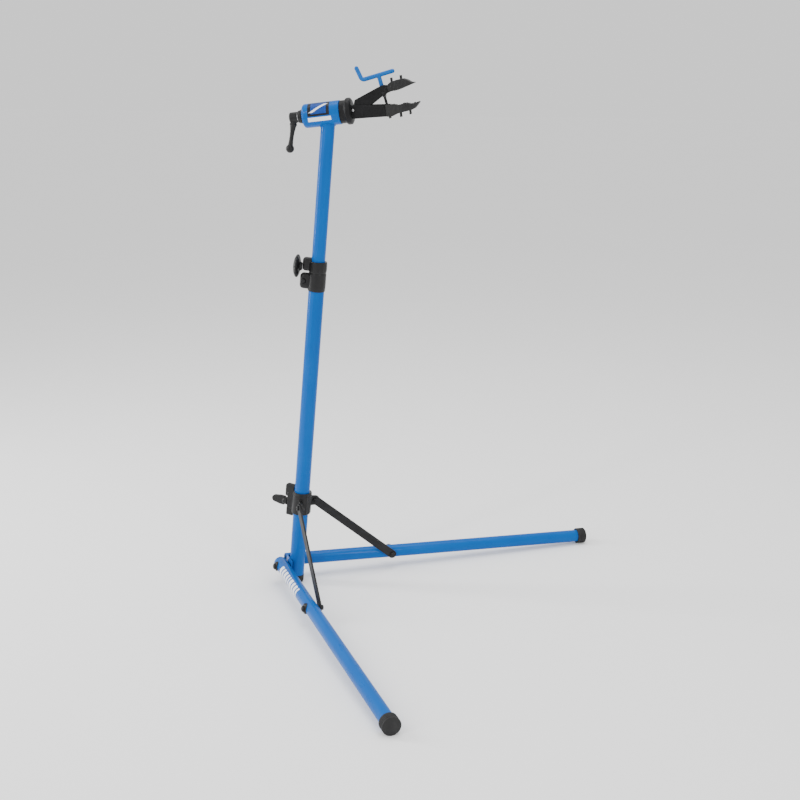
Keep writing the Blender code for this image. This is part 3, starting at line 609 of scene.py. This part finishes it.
def trim(obj, body, slot, material=None):
    """A detail that rides on a body and stands for no node of its own."""
    obj.data.materials.clear()
    obj.data.materials.append(material or FINISH[slot])
    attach(obj, body)


# tubes and foot ----------------------------------------------------------------------

LOWER_RADIUS, LOWER_BORE = 22.2, 19.9
UPPER_RADIUS, UPPER_BORE = 19.05, 17.1
LOWER_TOP, UPPER_FOOT = 942, 497
LEG_RADIUS, LEG_BORE = 19.05, 17.05
LEG_OFFSET, PIVOT_HEIGHT, LEG_END = 45.0, 52.5, 962.0
WASHER_FACE = LEG_OFFSET + 21.9
BOLT_SEAT = LEG_OFFSET + 22.2
BARREL_RADIUS = 32.0
HEAD_HEIGHT = HEAD_AT.length / MM
GAP = 0.3  # between pieces that touch


def bolt_head(name, place, seat, low, shank, head, dome=6.0, key=2.6):
    """A button-head bolt along local Z with a hexagon socket in its head."""
    obj = lathe(name, [(0, seat + dome), (head * 0.55, seat + dome), (head * 0.86, seat + 4.2),
                       (head, seat + 1.6), (head, seat), (shank, seat), (shank, low), (0, low)],
                place, 56, [0, 3, 3, 1, 0.4, 0.3, 0.6, 0])
    return cut(obj, disc(name + "_key", key, seat + dome - 3.2, seat + dome + 4, place, 6))


def make_tubes():
    show(pipe("lower_tube_fine", LOWER_RADIUS, LOWER_BORE, 26, LOWER_TOP, MAST), "lower_tube")
    foot = lathe("mast_foot_fine", [
        (0, 36), (18.5, 36), (19.5, 34), (19.5, 25.7), (22.8, 25.7), (22.8, 16.4), (22.0, 15.6),
        (22.0, 13.6), (22.8, 12.8), (22.8, 8), (21.3, 4), (19.5, -6), (0, -6),
    ], MAST, 96, [0, 0.5, 0.5, 0.3, 1.2, 0.6, 0.4, 0.4, 0.6, 2, 2, 0, 0])
    show(above_floor(foot), "mast_foot")
    tube = pipe("upper_tube_fine", UPPER_RADIUS, UPPER_BORE, UPPER_FOOT, HEAD_HEIGHT - 20, MAST)
    cut(tube, disc("barrel_seat", BARREL_RADIUS + 0.2, -100, 100, BARREL_WAY, 96))
    show(tube, "upper_tube")
    for word, side in SIDES.items():
        make_leg(word, side)


def make_leg(word, side):
    leg = LEGS[word]
    axis = leg @ shift(0, side * LEG_OFFSET, 0) @ turn(90, "Y")
    outward = leg @ sideways(side)
    at_strut = leg @ shift(STRUT_REACH, 0, 0) @ sideways(side)
    show(pipe(word + "_leg_tube_fine", LEG_RADIUS, LEG_BORE, -26, LEG_END - 4.5, axis),
         word + "_leg_tube")
    lip, end = LEG_END - 28, LEG_END
    profile = [(0, end), (21.5, end), (24, end - 2.5)]
    for rib in range(3):
        z = end - 6.5 - 5.5 * rib
        profile += [(24, z), (23.1, z - 0.8), (23.1, z - 2.2), (24, z - 3.0)]
    profile += [(24, lip + 1.5), (22.5, lip), (19.3, lip), (19.3, end - 4.2), (0, end - 4.2)]
    cap = lathe(word + "_leg_cap_fine", profile, axis, 96, 0.7)
    show(above_floor(cap), word + "_leg_cap")
    show(lathe(word + "_leg_plug_fine", [(0, -20.5), (12, -20.5), (13.5, -21.5), (16.6, -21.5),
                                         (16.6, -12), (0, -12)][::-1], axis, 72, 0.6),
         word + "_leg_plug")
    hole = 5.3
    for kind, place, radius in (("_pivot_washer", outward, 14.0),
                                ("_strut_washer", at_strut, 15.0)):
        washer = lathe(word + kind + "_fine", [
            (hole, WASHER_FACE), (radius - 3, WASHER_FACE), (radius, WASHER_FACE - 2.5),
            (radius, LEG_OFFSET + 11), (hole, LEG_OFFSET + 11)], place, 72,
            [0.3, 1.5, 1.5, 0, 0], closed=True)
        cut(washer, disc(word + kind + "_seat", LEG_RADIUS + 0.25, -40, 400, axis, 96))
        show(washer, word + kind)
    show(bolt_head(word + "_strut_bolt_fine", at_strut, BOLT_SEAT, 23.1, 4.0, 9.0),
         word + "_strut_bolt")
    pivot = MAST @ shift(0, 0, PIVOT_HEIGHT) @ turn(side * SPLAY, "Z") @ sideways(side)
    show(bolt_head(word + "_pivot_bolt_fine", pivot, BOLT_SEAT, 6.4, 5.0, 9.5),
         word + "_pivot_bolt")


def make_bracket():
    """The bent plate round the back of the mast that the legs bear on."""
    splay = math.radians(SPLAY)
    outline = []
    for across, sides in ((25.6, (1, -1)), (22.6, (-1, 1))):
        back = -across / math.tan(splay)
        for index, side in enumerate(sides):
            for out in ((back, 27.0) if index else (27.0,)):
                outline.append((out * math.cos(splay) - across * math.sin(splay),
                                side * (out * math.sin(splay) + across * math.cos(splay))))
    plate = prism("base_bracket_fine", outline, 28, 77, MAST, 0.7, [0, 5.0, 0, 0, 2.0, 0])
    show(plate, "base_bracket")


def make_leg_marks():
    """Plain pale blocks along the outside of each leg, with no lettering."""
    widths = (15, 12, 15, 12, 8, 17, 13, 14, 9)
    first, gap, slant, half = 38.0, 7.0, 5, 46
    for word, side in SIDES.items():
        x = first
        place = LEGS[word] @ shift(0, side * LEG_OFFSET, 0)
        low, high = (90 - 72 * side - half * side, 90 - 72 * side + half * side)
        for number, width in enumerate(widths):
            corners = ((x, low), (x + width, low), (x + width + slant, high), (x + slant, high))
            mark = patch("%s_leg_mark_%d" % (word, number), LEG_RADIUS + 0.03, corners, place)
            trim(mark, word + "_leg", "nylon", LABEL_WHITE)
            x += width + gap


def make_struts():
    half_width, half_thick, out = 12.5, 2.6, 19.8
    for word, side in SIDES.items():
        place, length = STRUTS[word]
        ends = arc((0, 0), half_width, 90, 270, 20) + arc((length, 0), half_width, -90, 90, 20)
        flat = place @ shift(0, side * out, 0) @ turn(90, "X")
        bar = prism(word + "_strut_fine", ends, -half_thick, half_thick, flat, 1.0)
        show(bar, word + "_strut")
        at_leg = place @ shift(length, 0, 0) @ sideways(side)
        stud = lathe(word + "_strut_nut_fine", [
            (0, 22.7), (4, 22.7), (4, 16.9), (7.9, 16.9), (7.9, 11.9), (6, 10.4), (0, 10.4)],
            at_leg, 6, 0.4)
        show(stud, word + "_strut_nut")


# collars and knobs -------------------------------------------------------------------

EAR_OUT, EAR_UP = 44, 254
KNOB_BEARING = 200
COLLAR_VOXEL, COLLAR_SMOOTHING = 0.74, 4


def make_leg_collar():
    solids = [lathe("collar_body", [(0, 289), (28, 289), (28, 284), (27.2, 283), (27.2, 279),
                                    (28, 278), (28, 222), (0, 222)], MAST, 96,
                    [0, 2, 0.5, 0.3, 0.3, 0.5, 2, 0])]
    tools = [disc("collar_bore", 24.8, 190, 320, MAST, 96),
             disc("collar_stud_hole", 5.4, 10, 60, LEG_KNOB)]
    for word, side in SIDES.items():
        plane = MAST @ turn(side * SPLAY, "Z")
        flat = plane @ shift(0, side * 14.1, 0) @ turn(90, "X")
        outline = [(12, 238.5), (12, 269.5)] + arc((EAR_OUT, EAR_UP), 15, 90, -90, 20)
        solids.append(prism("ear_" + word, outline, -2.8, 2.8, flat))
        web = [(20, 226), (20, 246), (39, 243.5), (31, 234)]
        solids.append(prism("ear_web_" + word, web, -2.2, 2.2, flat))
        place = plane @ shift(EAR_OUT, 0, EAR_UP) @ sideways(side)
        tools.append(disc("ear_hole_" + word, 4.3, 5, 30, place))
    solids += [block("collar_lug", (-53, -10, 264), (-10, 10, 303), MAST, 6),
               block("collar_boss", (-43.4, -12.2, 230.5), (-13, 12.2, 280), MAST, 3),
               block("collar_stub", (-46, -8.5, 207), (-16, 8.5, 232.4), MAST, 2.6)]
    for bearing in (-28, 0, 28):
        rib = MAST @ turn(bearing, "Z")
        solids.append(block("front_rib", (20, -1.8, 224), (28.9, 1.8, 287), rib, 0.8))
    tools.append(block("lug_slit", (-60, -1.0, 284), (-20, 1.0, 310), MAST))
    collar = cast("leg_collar_fine", MAST, solids, tools, COLLAR_VOXEL, COLLAR_SMOOTHING)
    show(collar, "leg_collar")
    show(pipe("leg_collar_bush_fine", 24.5, 22.5, 224, 287, MAST, 0.3), "leg_collar_bush")
    for word, side in SIDES.items():
        place = MAST @ turn(side * SPLAY, "Z") @ shift(EAR_OUT, 0, EAR_UP) @ sideways(side)
        show(bolt_head(word + "_ear_bolt_fine", place, 22.7, 3.5, 4.0, 7.5, 4.0, 2.1),
             word + "_ear_bolt")
        show(lathe(word + "_ear_nut_fine", [(4.3, 11), (7.4, 11), (7.4, 4.8), (4.3, 4.8)], place,
                   6, 0.5, closed=True), word + "_ear_nut")


def make_leg_knob():
    wing = [(-8, 45), (-8, 52), (-13.5, 57), (-13.5, 70)]
    outline = wing + arc((0, 88), 10.5, 180, 0, 20) + [(-x, z) for x, z in reversed(wing)]
    flat = LEG_KNOB @ turn(90, "X")
    solids = [prism("wing", outline, -6, 6, flat, 2.4),
              lathe("hub", [(0, 64), (9, 61), (11, 56), (11, 45), (0, 45)], LEG_KNOB, 48, 1.0)]
    tools = [disc("knob_socket", 5.3, 40, 50.4, LEG_KNOB)]
    for face in (-1, 1):
        for step in range(4):
            z = 68 + 6.0 * step
            groove = LEG_KNOB @ shift(0, face * 6.4, z)
            tools.append(block("groove", (-9 + step, -0.9, -1.0), (9 - step, 0.9, 1.0), groove))
    show(cast("leg_collar_knob_fine", LEG_KNOB, solids, tools, 0.5, 4), "leg_collar_knob")


def make_height_collar():
    turned_to = MAST @ turn(KNOB_BEARING, "Z")
    solids = [lathe("tiers", [
        (0, 974), (24.9, 974), (24.9, 945.4), (24.1, 944.4), (24.1, 940.6), (24.9, 939.8),
        (24.9, 902), (23.9, 890), (0, 890)], MAST, 96, [0, 1.6, 0.5, 0.4, 0.4, 0.5, 4, 1.2, 0])]
    for bearing in range(0, 360, 24):
        from_knob = abs((bearing - KNOB_BEARING + 180) % 360 - 180)
        if from_knob > 50:
            rib = MAST @ turn(bearing, "Z")
            solids.append(block("rib", (20, -1.1, 949), (25.5, 1.1, 970), rib, 0.5))
    solids += [block("knob_boss", (12, -11, 945), (43, 11, 983), turned_to, 8),
               block("clamp_lug", (13, -12.3, 894), (48, 12.3, 939), turned_to, 10)]
    across = turned_to @ shift(37, 0, 917) @ turn(90, "X")
    tools = [disc("lower_bore", LOWER_RADIUS + GAP, 800, LOWER_TOP + GAP, MAST, 96),
             disc("upper_bore", UPPER_RADIUS + GAP, 800, 1000, MAST, 96),
             disc("stud_hole", 5.4, 10, 60, HEIGHT_KNOB),
             block("clamp_slit", (18, -1.2, 880), (60, 1.2, 940), turned_to),
             disc("screw_hole", 3.4, -20, 20, across),
             disc("head_seat", 7.0, 11.2, 20, across), disc("nut_seat", 7.0, -20, -11.2, across)]
    collar = cast("height_collar_fine", MAST, solids, tools, COLLAR_VOXEL, COLLAR_SMOOTHING)
    show(collar, "height_collar")
    screw = lathe("collar_screw_fine", [
        (0, 17.6), (4.6, 17.6), (6, 16.4), (6, 12.4), (3, 12.4), (3, -12.4), (6, -12.4),
        (6, -16), (0, -16)], across, 6, 0.4)
    show(screw, "collar_screw")


def make_height_knob():
    def lobes(radius, angle, height):
        count, deepest, starts, spread = 14, 1.15, 22, 9.0
        depth = deepest * max(0.0, min(1.0, (radius - starts) / spread))
        return radius - depth * (0.5 - 0.5 * math.cos(count * angle)) ** 1.5

    knob = lathe("height_knob_fine", [
        (0, 67.6), (6.5, 67.6), (8, 69), (12, 68.4), (22, 66.2), (29, 63.2), (32.5, 59.6),
        (32.5, 57.4), (30.5, 55.4), (24, 52.4), (14, 50.2), (11, 46), (10, 44), (5.3, 44),
        (5.3, 61.3), (0, 61.3)], HEIGHT_KNOB, 168,
        [0, 0.5, 0.8, 3, 6, 3, 1.6, 1.6, 2, 4, 3, 1, 1, 0.5, 0, 0], shape=lobes)
    show(knob, "height_knob")


# head --------------------------------------------------------------------------------

def make_barrel():
    profile = [(28, 33), (BARREL_RADIUS, 33), (BARREL_RADIUS, -70), (13, -70), (13, -65),
               (28, -65)]
    barrel = lathe("barrel_fine", profile, BARREL_WAY, 128, [0.6, 0.8, 8, 0.4, 0.4, 4],
                   closed=True)
    show(barrel, "barrel")
    make_weld()
    show(lathe("thrust_washer_fine", [
        (12.3, -70.3), (18.2, -70.3), (18.5, -75), (16, -84), (12.3, -84)], BARREL_WAY, 72,
        [0.3, 0.8, 2, 0.8, 0.3], closed=True), "thrust_washer")
    show(lathe("head_spindle_fine", [
        (0, 58), (12, 58), (12, -102.5), (0, -102.5)], BARREL_WAY, 72, 0.6), "head_spindle")
    for node, low, high in (("front_bush", 8, 30), ("rear_bush", -58, -40)):
        show(pipe(node + "_fine", 27.7, 12.3, low, high, BARREL_WAY, 0.6), node)


def make_weld():
    """The weld where the upper tube meets the barrel: a rippled bead along their joint."""
    tube_in_head = HEAD.inverted() @ MAST
    around = UPPER_RADIUS + 0.35
    count = 140
    route, radii = [], []
    for k in range(count + 1):
        angle = 2 * math.pi * k / count
        spot = Vector((around * math.cos(angle), around * math.sin(angle), 0))
        low, high = HEAD_HEIGHT - 60, HEAD_HEIGHT - 5
        for _ in range(24):
            spot.z = (low + high) / 2
            point = tube_in_head @ (spot * MM) / MM
            if math.hypot(point.y, point.z) > BARREL_RADIUS + 0.6:
                low = spot.z
            else:
                high = spot.z
        route.append(point)
        radii.append(1.75 + 0.22 * math.sin(34 * angle) + 0.1 * math.sin(5 * angle))
    trim(swept("barrel_weld", route, radii, HEAD, 14), "upper_mast", "blue_paint")


def make_label():
    """A plain sticker on each side of the barrel: a blue field, a slanted bar and a strip."""
    bottom, middle, top = (BARREL_RADIUS + lift for lift in (0.03, 0.17, 0.31))
    for word, side in (("near", 1), ("far", -1)):
        def sheet(name, x0, x1, low, high, radius, slant=0.0):
            start, end = (90 + side * (90 - bearing) for bearing in (low, high))
            corners = ((x0, start), (x1, start), (x1 + slant, end), (x0 + slant, end))
            return patch(word + name, radius, corners, HEAD)

        trim(sheet("_label_panel", -52, 8, -3, 76, bottom), "upper_mast", "black_plastic",
             LABEL_BLACK)
        trim(sheet("_label_field", -43, -1, 7, 68, middle), "upper_mast", "blue_paint",
             LABEL_BLUE)
        trim(sheet("_label_bar", -49, -38, 14, 58, top, 42), "upper_mast", "nylon",
             LABEL_WHITE)
        trim(sheet("_label_strip", -52, 11, -29, -9, bottom), "upper_mast", "nylon",
             LABEL_WHITE)


def make_lock_lever():
    hub = lathe("hub", [(0, -86.3), (14.5, -86.3), (14.5, -108), (0, -109.5)], BARREL_WAY, 64,
                [0, 2, 4, 0])
    length, ball = 79.0, 11.5
    place = HEAD @ shift(-97.5, 0, -5) @ turn(16.5, "Y")
    end = arc((0, -length), ball, 52, -90, 20)
    end[-1] = (0, end[-1][1])
    shank = [(0, 0), (9, 0), (9, -15), (6.6, -length + 48), (5.8, -length + 34),
             (6.0, -length + 20)]
    arm = lathe("arm", shank + end, place, 56, [0, 2, 6, 20, 20, 8] + [0] * len(end))
    collar = lathe("arm_collar", [(0, -11), (10, -11), (10, -17), (0, -17)], place, 56,
                   [0, 2, 2, 0])
    bore = disc("lever_bore", 12.3, -103, -80, BARREL_WAY, 64)
    lever = cast("lock_lever_fine", HEAD, [hub, arm, collar], [bore], 0.55, 7)
    show(lever, "lock_lever")


def make_fixed_jaw():
    ring = lathe("ring", [(0, 66), (29, 66), (35.5, 62), (35.5, 52), (30.5, 47), (30.5, 33.5),
                          (0, 33.5)], BARREL_WAY, 96, [0, 2, 4, 4, 2, 0.6, 0])
    channel = side_prism("channel", [(52, 16.5), (172.2, 5.5), (172.2, -25), (52, -20.5)], 17, 1.2)
    flange = side_prism("channel_foot", [(60, -20.0), (150, -24.4), (172, -25.2), (172, -22.5),
                                         (60, -17.0)], 17.9, 0.7)
    blade = side_prism("blade", [(165, -5), (236, -4), (239, -6.5), (236, -9.5), (165, -11)], 13)
    x0, z0 = in_head("upper_jaw_swing")
    hinge = HEAD @ shift(x0, 0, z0) @ turn(90, "X")
    nut_x, nut_z = in_head("lower_nut_turn")
    nut = HEAD @ shift(nut_x, 0, nut_z) @ turn(90, "X")
    panel = [(96, 9.5), (150, 4.0), (153, 1.0), (153, -16.0), (150, -19.5), (96, -17.0),
             (93, -14.0), (93, 6.5)]
    face = HEAD @ turn(90, "X")
    tools = [prism("near_panel", panel, 15.9, 19, face, 0.8),
             prism("far_panel", panel, -19, -15.9, face, 0.8),
             disc("socket", 12.3, 20, 58.5, BARREL_WAY, 64),
             side_prism("hollow", [(x0, -11.6), (169.8, -21.4), (169.8, 45), (x0, 45)], 14),
             disc("knuckle_room", 13, -14, 14, hinge, 64), disc("hinge_hole", 4.3, -30, 30, hinge),
             disc("nut_hole", 5.1, -30, 30, nut), disc("screw_slot", 8, -40, -8, NUT),
             disc("near_recess", 6.8, 17.1, 26, hinge), disc("far_recess", 6.8, -26, -17.1, hinge)]
    show(cast("fixed_jaw_fine", HEAD, [ring, channel, flange, blade], tools, 0.74, 3), "fixed_jaw")
    pin = lathe("hinge_pin_fine", [
        (0, 20), (2.6, 19.8), (3.6, 18.9), (3.6, 17.5), (4, 17.3), (4, -17.3), (3.6, -17.5),
        (3.6, -18.9), (2.6, -19.8), (0, -20)], hinge, 48, 0.6)
    show(pin, "hinge_pin")
    for low, high in ((17.35, 18.6), (-18.6, -17.35)):
        washer = pipe("hinge_washer", 6.4, 3.8, low, high, hinge, 0.4, 48)
        trim(washer, "clamp_head", "black_metal")


def nubs(places, profile):
    """Pairs of pull nubs, each made from its tip's height, at (x, tip)."""
    pairs = []
    for x, tip in places:
        for y in (-9, 9):
            pairs.append(lathe("nub", profile(tip), HEAD @ shift(x, y, 0), 24, 0.5))
    return pairs


def grips(places, radius):
    """Thin bars across a pad's gripping face, at (x, z)."""
    return [prism("grip", arc(spot, radius, 0, 324, 9), -14, 14, HEAD @ turn(90, "X"))
            for spot in places]


def side_ribs(places, lean):
    """Slanted ribs moulded on both sides of a pad, at (x, z, half their length)."""
    ribs = []
    for x, z, reach in places:
        spot = HEAD @ shift(x, 0, z) @ turn(lean, "Y") @ turn(90, "X")
        outline = arc((0, reach), 1.9, 0, 180, 8) + arc((0, -reach), 1.9, 180, 360, 8)
        for low, high in ((15.5, 18.9), (-18.9, -15.5)):
            ribs.append(prism("pad_rib", outline, low, high, spot, 0.6))
    return ribs


def make_lower_pad():
    """A rubber sleeve on the fixed jaw's blade, with a waved gripping face."""
    outline = [
        (158, 7.6), (166, 6.6), (174, 4.6), (181, 3.8), (191, 0.7), (199, 2.6), (208, 4.9),
        (217, 3.6), (226, 0.4), (236, 1.0), (246, 4.8), (249, 4.4), (248, 1.5), (243, -4),
        (235, -11.6), (226, -15), (212, -17.2), (194, -19.2), (181, -22.5), (172, -26.2),
        (158, -25.6)]

    def nub(tip):
        return [(0, -12), (2.6, -12), (1.7, -18), (2.2, tip + 1), (1.5, tip), (0, tip)]

    def wave(x):
        return 2.7 + 1.9 * math.sin((x - 193) / 17 * math.pi - math.pi / 2)

    solids = [side_prism("lower_pad", outline, 18.2, 2.2, 3.0)]
    solids += nubs([(165, -31), (195, -30.7), (221, -26.5)], nub)
    solids += grips([(178 + 7.2 * k, wave(178 + 7.2 * k)) for k in range(9)], 1.3)
    tools = [side_prism("lower_pocket", [(150, 5.8), (172.6, 5.8), (172.6, -4.4), (236.2, -3.6),
                                         (239.6, -6.5), (236.2, -9.9), (172.6, -11.6),
                                         (172.6, -25.3), (150, -25.3)], 13.4),
             side_prism("sleeve_room", [(150, 12), (172.8, 5.4), (172.8, -25.4), (150, -25.4)],
                        17.2),
             disc("screw_room", 7.6, -60, 0, NUT)]
    solids += side_ribs([(181, -8.5, 8), (192, -9, 6.5), (203, -7, 7), (214, -5.5, 6.5),
                         (225, -5.5, 4.5), (236, -2.5, 2.5)], 24)
    show(cast("lower_jaw_pad_fine", HEAD, solids, tools, 0.6, 3), "lower_jaw_pad")


def make_upper_pad():
    """A rubber sleeve on the upper jaw's blade, with a sloping gripping face."""
    outline = [
        (170, 56.5), (176, 61), (182, 63.5), (196, 66.5), (212, 68), (222, 64), (229, 59.5),
        (233, 56.4), (241, 55), (242, 53.2), (229, 49.6), (215, 45.5), (201, 41.2), (188, 39.6),
        (170, 37.6)]

    def nub(tip):
        return [(0, tip), (1.5, tip), (2.2, tip - 1), (1.7, 64), (2.6, 58), (0, 58)]

    def slope(x):
        return 39.6 + max(0.0, x - 190) * 0.27

    solids = [side_prism("upper_pad", outline, 18, 2.2, 3.0)]
    solids += nubs([(180, 73.5), (206, 77)], nub)
    solids += grips([(180 + 7.0 * k, slope(180 + 7.0 * k)) for k in range(7)], 1.2)
    tools = [side_prism("upper_pocket", [(150, 49.9), (172.8, 52.9), (224.4, 58.2), (224.4, 50.6),
                                         (172.8, 44.2), (150, 42)], 12.4),
             side_prism("arm_room", [(150, 60), (172.8, 53.5), (172.8, 36), (150, 30)], 13.3)]
    solids += side_ribs([(180, 50, 6.5), (190, 52, 8), (200, 54, 7.5), (210, 56, 6.5),
                         (220, 56.5, 3)], 20)
    show(cast("upper_jaw_pad_fine", HEAD, solids, tools, 0.6, 3), "upper_jaw_pad")


def make_upper_jaw():
    x0, z0 = in_head("upper_jaw_swing")
    outline = [(172.5, 52), (166, 56), (156, 57), (145, 53.5), (77, 27.5), (75.5, 24)]
    outline += arc((x0, z0), 11.5, 78, 280, 20)
    outline += [(92, -3), (122, 11.5), (150.5, 29), (160, 34), (172.5, 37)]
    blade = [(165, 49.6), (224, 57.4), (224, 51.4), (165, 43.6)]
    boss = HEAD @ shift(167.5, 0, 43.5) @ turn(90, "X")
    solids = [side_prism("arm", outline, 13), side_prism("arm_blade", blade, 12),
              lathe("arm_boss", [(0, 13.9), (6.2, 13.9), (7, 13), (7, -13), (6.2, -13.9),
                                 (0, -13.9)], boss, 48, 0.6)]
    edge = [(80, 28.7), (145, 53.6), (145, 51.4), (80, 26.4)]
    solids.append(side_prism("arm_edge", edge, 13.8, 0.6))
    hinge = HEAD @ shift(x0, 0, z0) @ turn(90, "X")
    hollow = [(86, 26.5), (145, 49.2), (155, 52.8), (167, 51), (168, 20), (150, 0), (86, -20)]
    trunnion_x, trunnion_z = in_head("crank_turn")
    trunnion = HEAD @ shift(trunnion_x, 0, trunnion_z) @ turn(90, "X")
    tools = [side_prism("arm_hollow", hollow, 9.7), disc("arm_hinge_hole", 4.3, -30, 30, hinge),
             disc("trunnion_hole", 4.9, -30, 30, trunnion), disc("stem_hole", 8.5, 5, 40, SCREW)]
    show(cast("upper_jaw_fine", HEAD, solids, tools, 0.6, 4), "upper_jaw")


def make_cross_pins():
    """The trunnion in the upper jaw and the nut in the lower, with the screw's hole through."""
    for node, place, end, pin, shoulder, body in (
            ("jaw_trunnion", SCREW, 12.6, 4.5, 9.3, 8), ("lower_nut", NUT, 16.8, 4.7, 13.6, 7.5)):
        piece = lathe(node + "_fine", [
            (0, end), (pin, end), (pin, shoulder), (body, shoulder), (body, -shoulder),
            (pin, -shoulder), (pin, -end), (0, -end)], place @ turn(90, "X"), 48, 0.5)
        show(cut(piece, disc(node + "_bore", 4.3, -20, 20, place)), node)


def make_screw():
    """The threaded screw and its dipped crank handle."""
    crest, pitch, depth, flat, starts = 4, 3.0, 0.42, 0.6, 6

    def thread(radius, angle, height):
        if radius < crest - 0.1 or height > starts:
            return radius
        wave = math.cos(2 * math.pi * height / pitch - angle)
        return radius - depth * (1 - max(-flat, min(flat, wave)) / flat)

    profile = [(0, 20), (crest, 20), (crest, 8)]
    profile += [(crest, starts - 0.3 * k) for k in range(219)]
    profile += [(2.6, -62), (0, -62)]
    show(lathe("clamp_screw_fine", profile, SCREW, 40, shape=thread), "clamp_screw")
    radius, height = 5.7, 47.6
    long_end, short_end, corner, lean = 44.5, 39.0, 9.0, math.radians(10)
    bend = [(x, 0, z) for x, z in arc((-short_end, height + corner), corner, 270, 190, 10)]
    tip = Vector(bend[-1]) + Vector((-math.sin(lean), 0, math.cos(lean))) * 32
    bar = swept("bar", *capsule([(long_end, 0, height), *bend, tip], radius), SCREW, 40)
    stem = lathe("stem", [(0, height), (5.6, height), (5.6, 9.4), (4.6, 8.5), (0, 8.5)], SCREW,
                 48, [0, 0, 0.6, 0.4, 0])
    socket = disc("stem_socket", 4.3, 0, 20.4, SCREW)
    handle = cast("crank_handle_fine", SCREW, [bar, stem], [socket], 0.5, 8)
    show(handle, "crank_handle")


# what stays as it is -----------------------------------------------------------------

def finish_frame_nodes():
    for obj in frame["nodes"].values():
        for place in obj.material_slots:
            place.material = FINISH[SLOT_OF[obj.name]]


# room --------------------------------------------------------------------------------

SKY = 1.05
FLOOR_GLOW = 0.105


def floor_finish():
    """Matt white with a faint mottle, glowing a little."""
    look = Nodes("pale_floor", specular=0.2)
    look.shader.inputs["Emission Color"].default_value = (1.0, 1.0, 1.0, 1.0)
    look.shader.inputs["Emission Strength"].default_value = FLOOR_GLOW
    mottle = look.spread(look.noise(0.6, 2.0), 0.3, 0.7)
    pale, paler = (0.90, 0.90, 0.90), (0.9135, 0.9135, 0.9135)
    roughness = look.spread(look.noise(3.0, 2.0), 0, 1, 0.8, 0.9)
    grain = look.bump(look.noise(180.0, 2.0), 0.02, 0.0005)
    return look.done(look.mix(mottle, pale, paler), roughness, grain)


def lamp(name, spot, aim, size, power):
    light = bpy.data.lights.new(name, "AREA")
    light.shape = "RECTANGLE"
    light.size, light.size_y = size
    light.energy = power
    obj = bpy.data.objects.new(name, light)
    obj.visible_camera = False
    bpy.context.scene.collection.objects.link(obj)
    obj.location = spot
    obj.rotation_euler = (Vector(aim) - Vector(spot)).to_track_quat("-Z", "Y").to_euler()


def make_room():
    """A pale floor in a pale room.  The floor's glow lets it meet the sky without a line."""
    mesh = bmesh.new()
    bmesh.ops.create_grid(mesh, x_segments=8, y_segments=8, size=40)
    floor = solid("floor", mesh, Matrix())
    floor.data.materials.append(floor_finish())
    world = bpy.data.worlds.new("studio")
    bpy.context.scene.world = world
    world.use_nodes = True
    sky = world.node_tree.nodes["Background"]
    sky.inputs["Color"].default_value = (1.0, 1.0, 1.0, 1.0)
    sky.inputs["Strength"].default_value = SKY
    lamp("key", (-0.9, -3.4, 2.4), (0.1, 0, 0.9), (0.2, 3.0), 40)
    lamp("side", (-2.7, -1.0, 1.9), (0.1, 0, 0.8), (0.5, 2.8), 85)
    lamp("fill", (3.0, -1.6, 2.2), (0.2, 0, 0.7), (0.5, 2.4), 30)
    lamp("top", (0.4, 0.6, 4.0), (0.3, 0, 0.5), (2.5, 2.5), 80)


def make_camera():
    """The camera faces the stand from its right side, turned towards its front."""
    azimuth, rise = math.radians(26.21), math.radians(14.48)
    distance, rightward, upward = 3.7978, 0.31256, 0.54278
    back = Vector((math.sin(azimuth) * math.cos(rise), -math.cos(azimuth) * math.cos(rise),
                   math.sin(rise)))
    right = Vector((math.cos(azimuth), math.sin(azimuth), 0))
    up = back.cross(right)
    lens = bpy.data.cameras.new("camera")
    lens.sensor_width = 36.0
    lens.lens = 56.92
    lens.clip_end = 60
    camera = bpy.data.objects.new("camera", lens)
    bpy.context.scene.collection.objects.link(camera)
    spot = back * distance + right * rightward + up * upward
    camera.matrix_world = axes(spot, right, up, back)
    bpy.context.scene.camera = camera


make_tubes()
make_bracket()
make_leg_marks()
make_struts()
make_leg_collar()
make_leg_knob()
make_height_collar()
make_height_knob()
make_barrel()
make_label()
make_lock_lever()
make_fixed_jaw()
make_lower_pad()
make_upper_pad()
make_upper_jaw()
make_cross_pins()
make_screw()
finish_frame_nodes()
make_room()
make_camera()
for tool in TOOLS:
    bpy.data.objects.remove(tool)
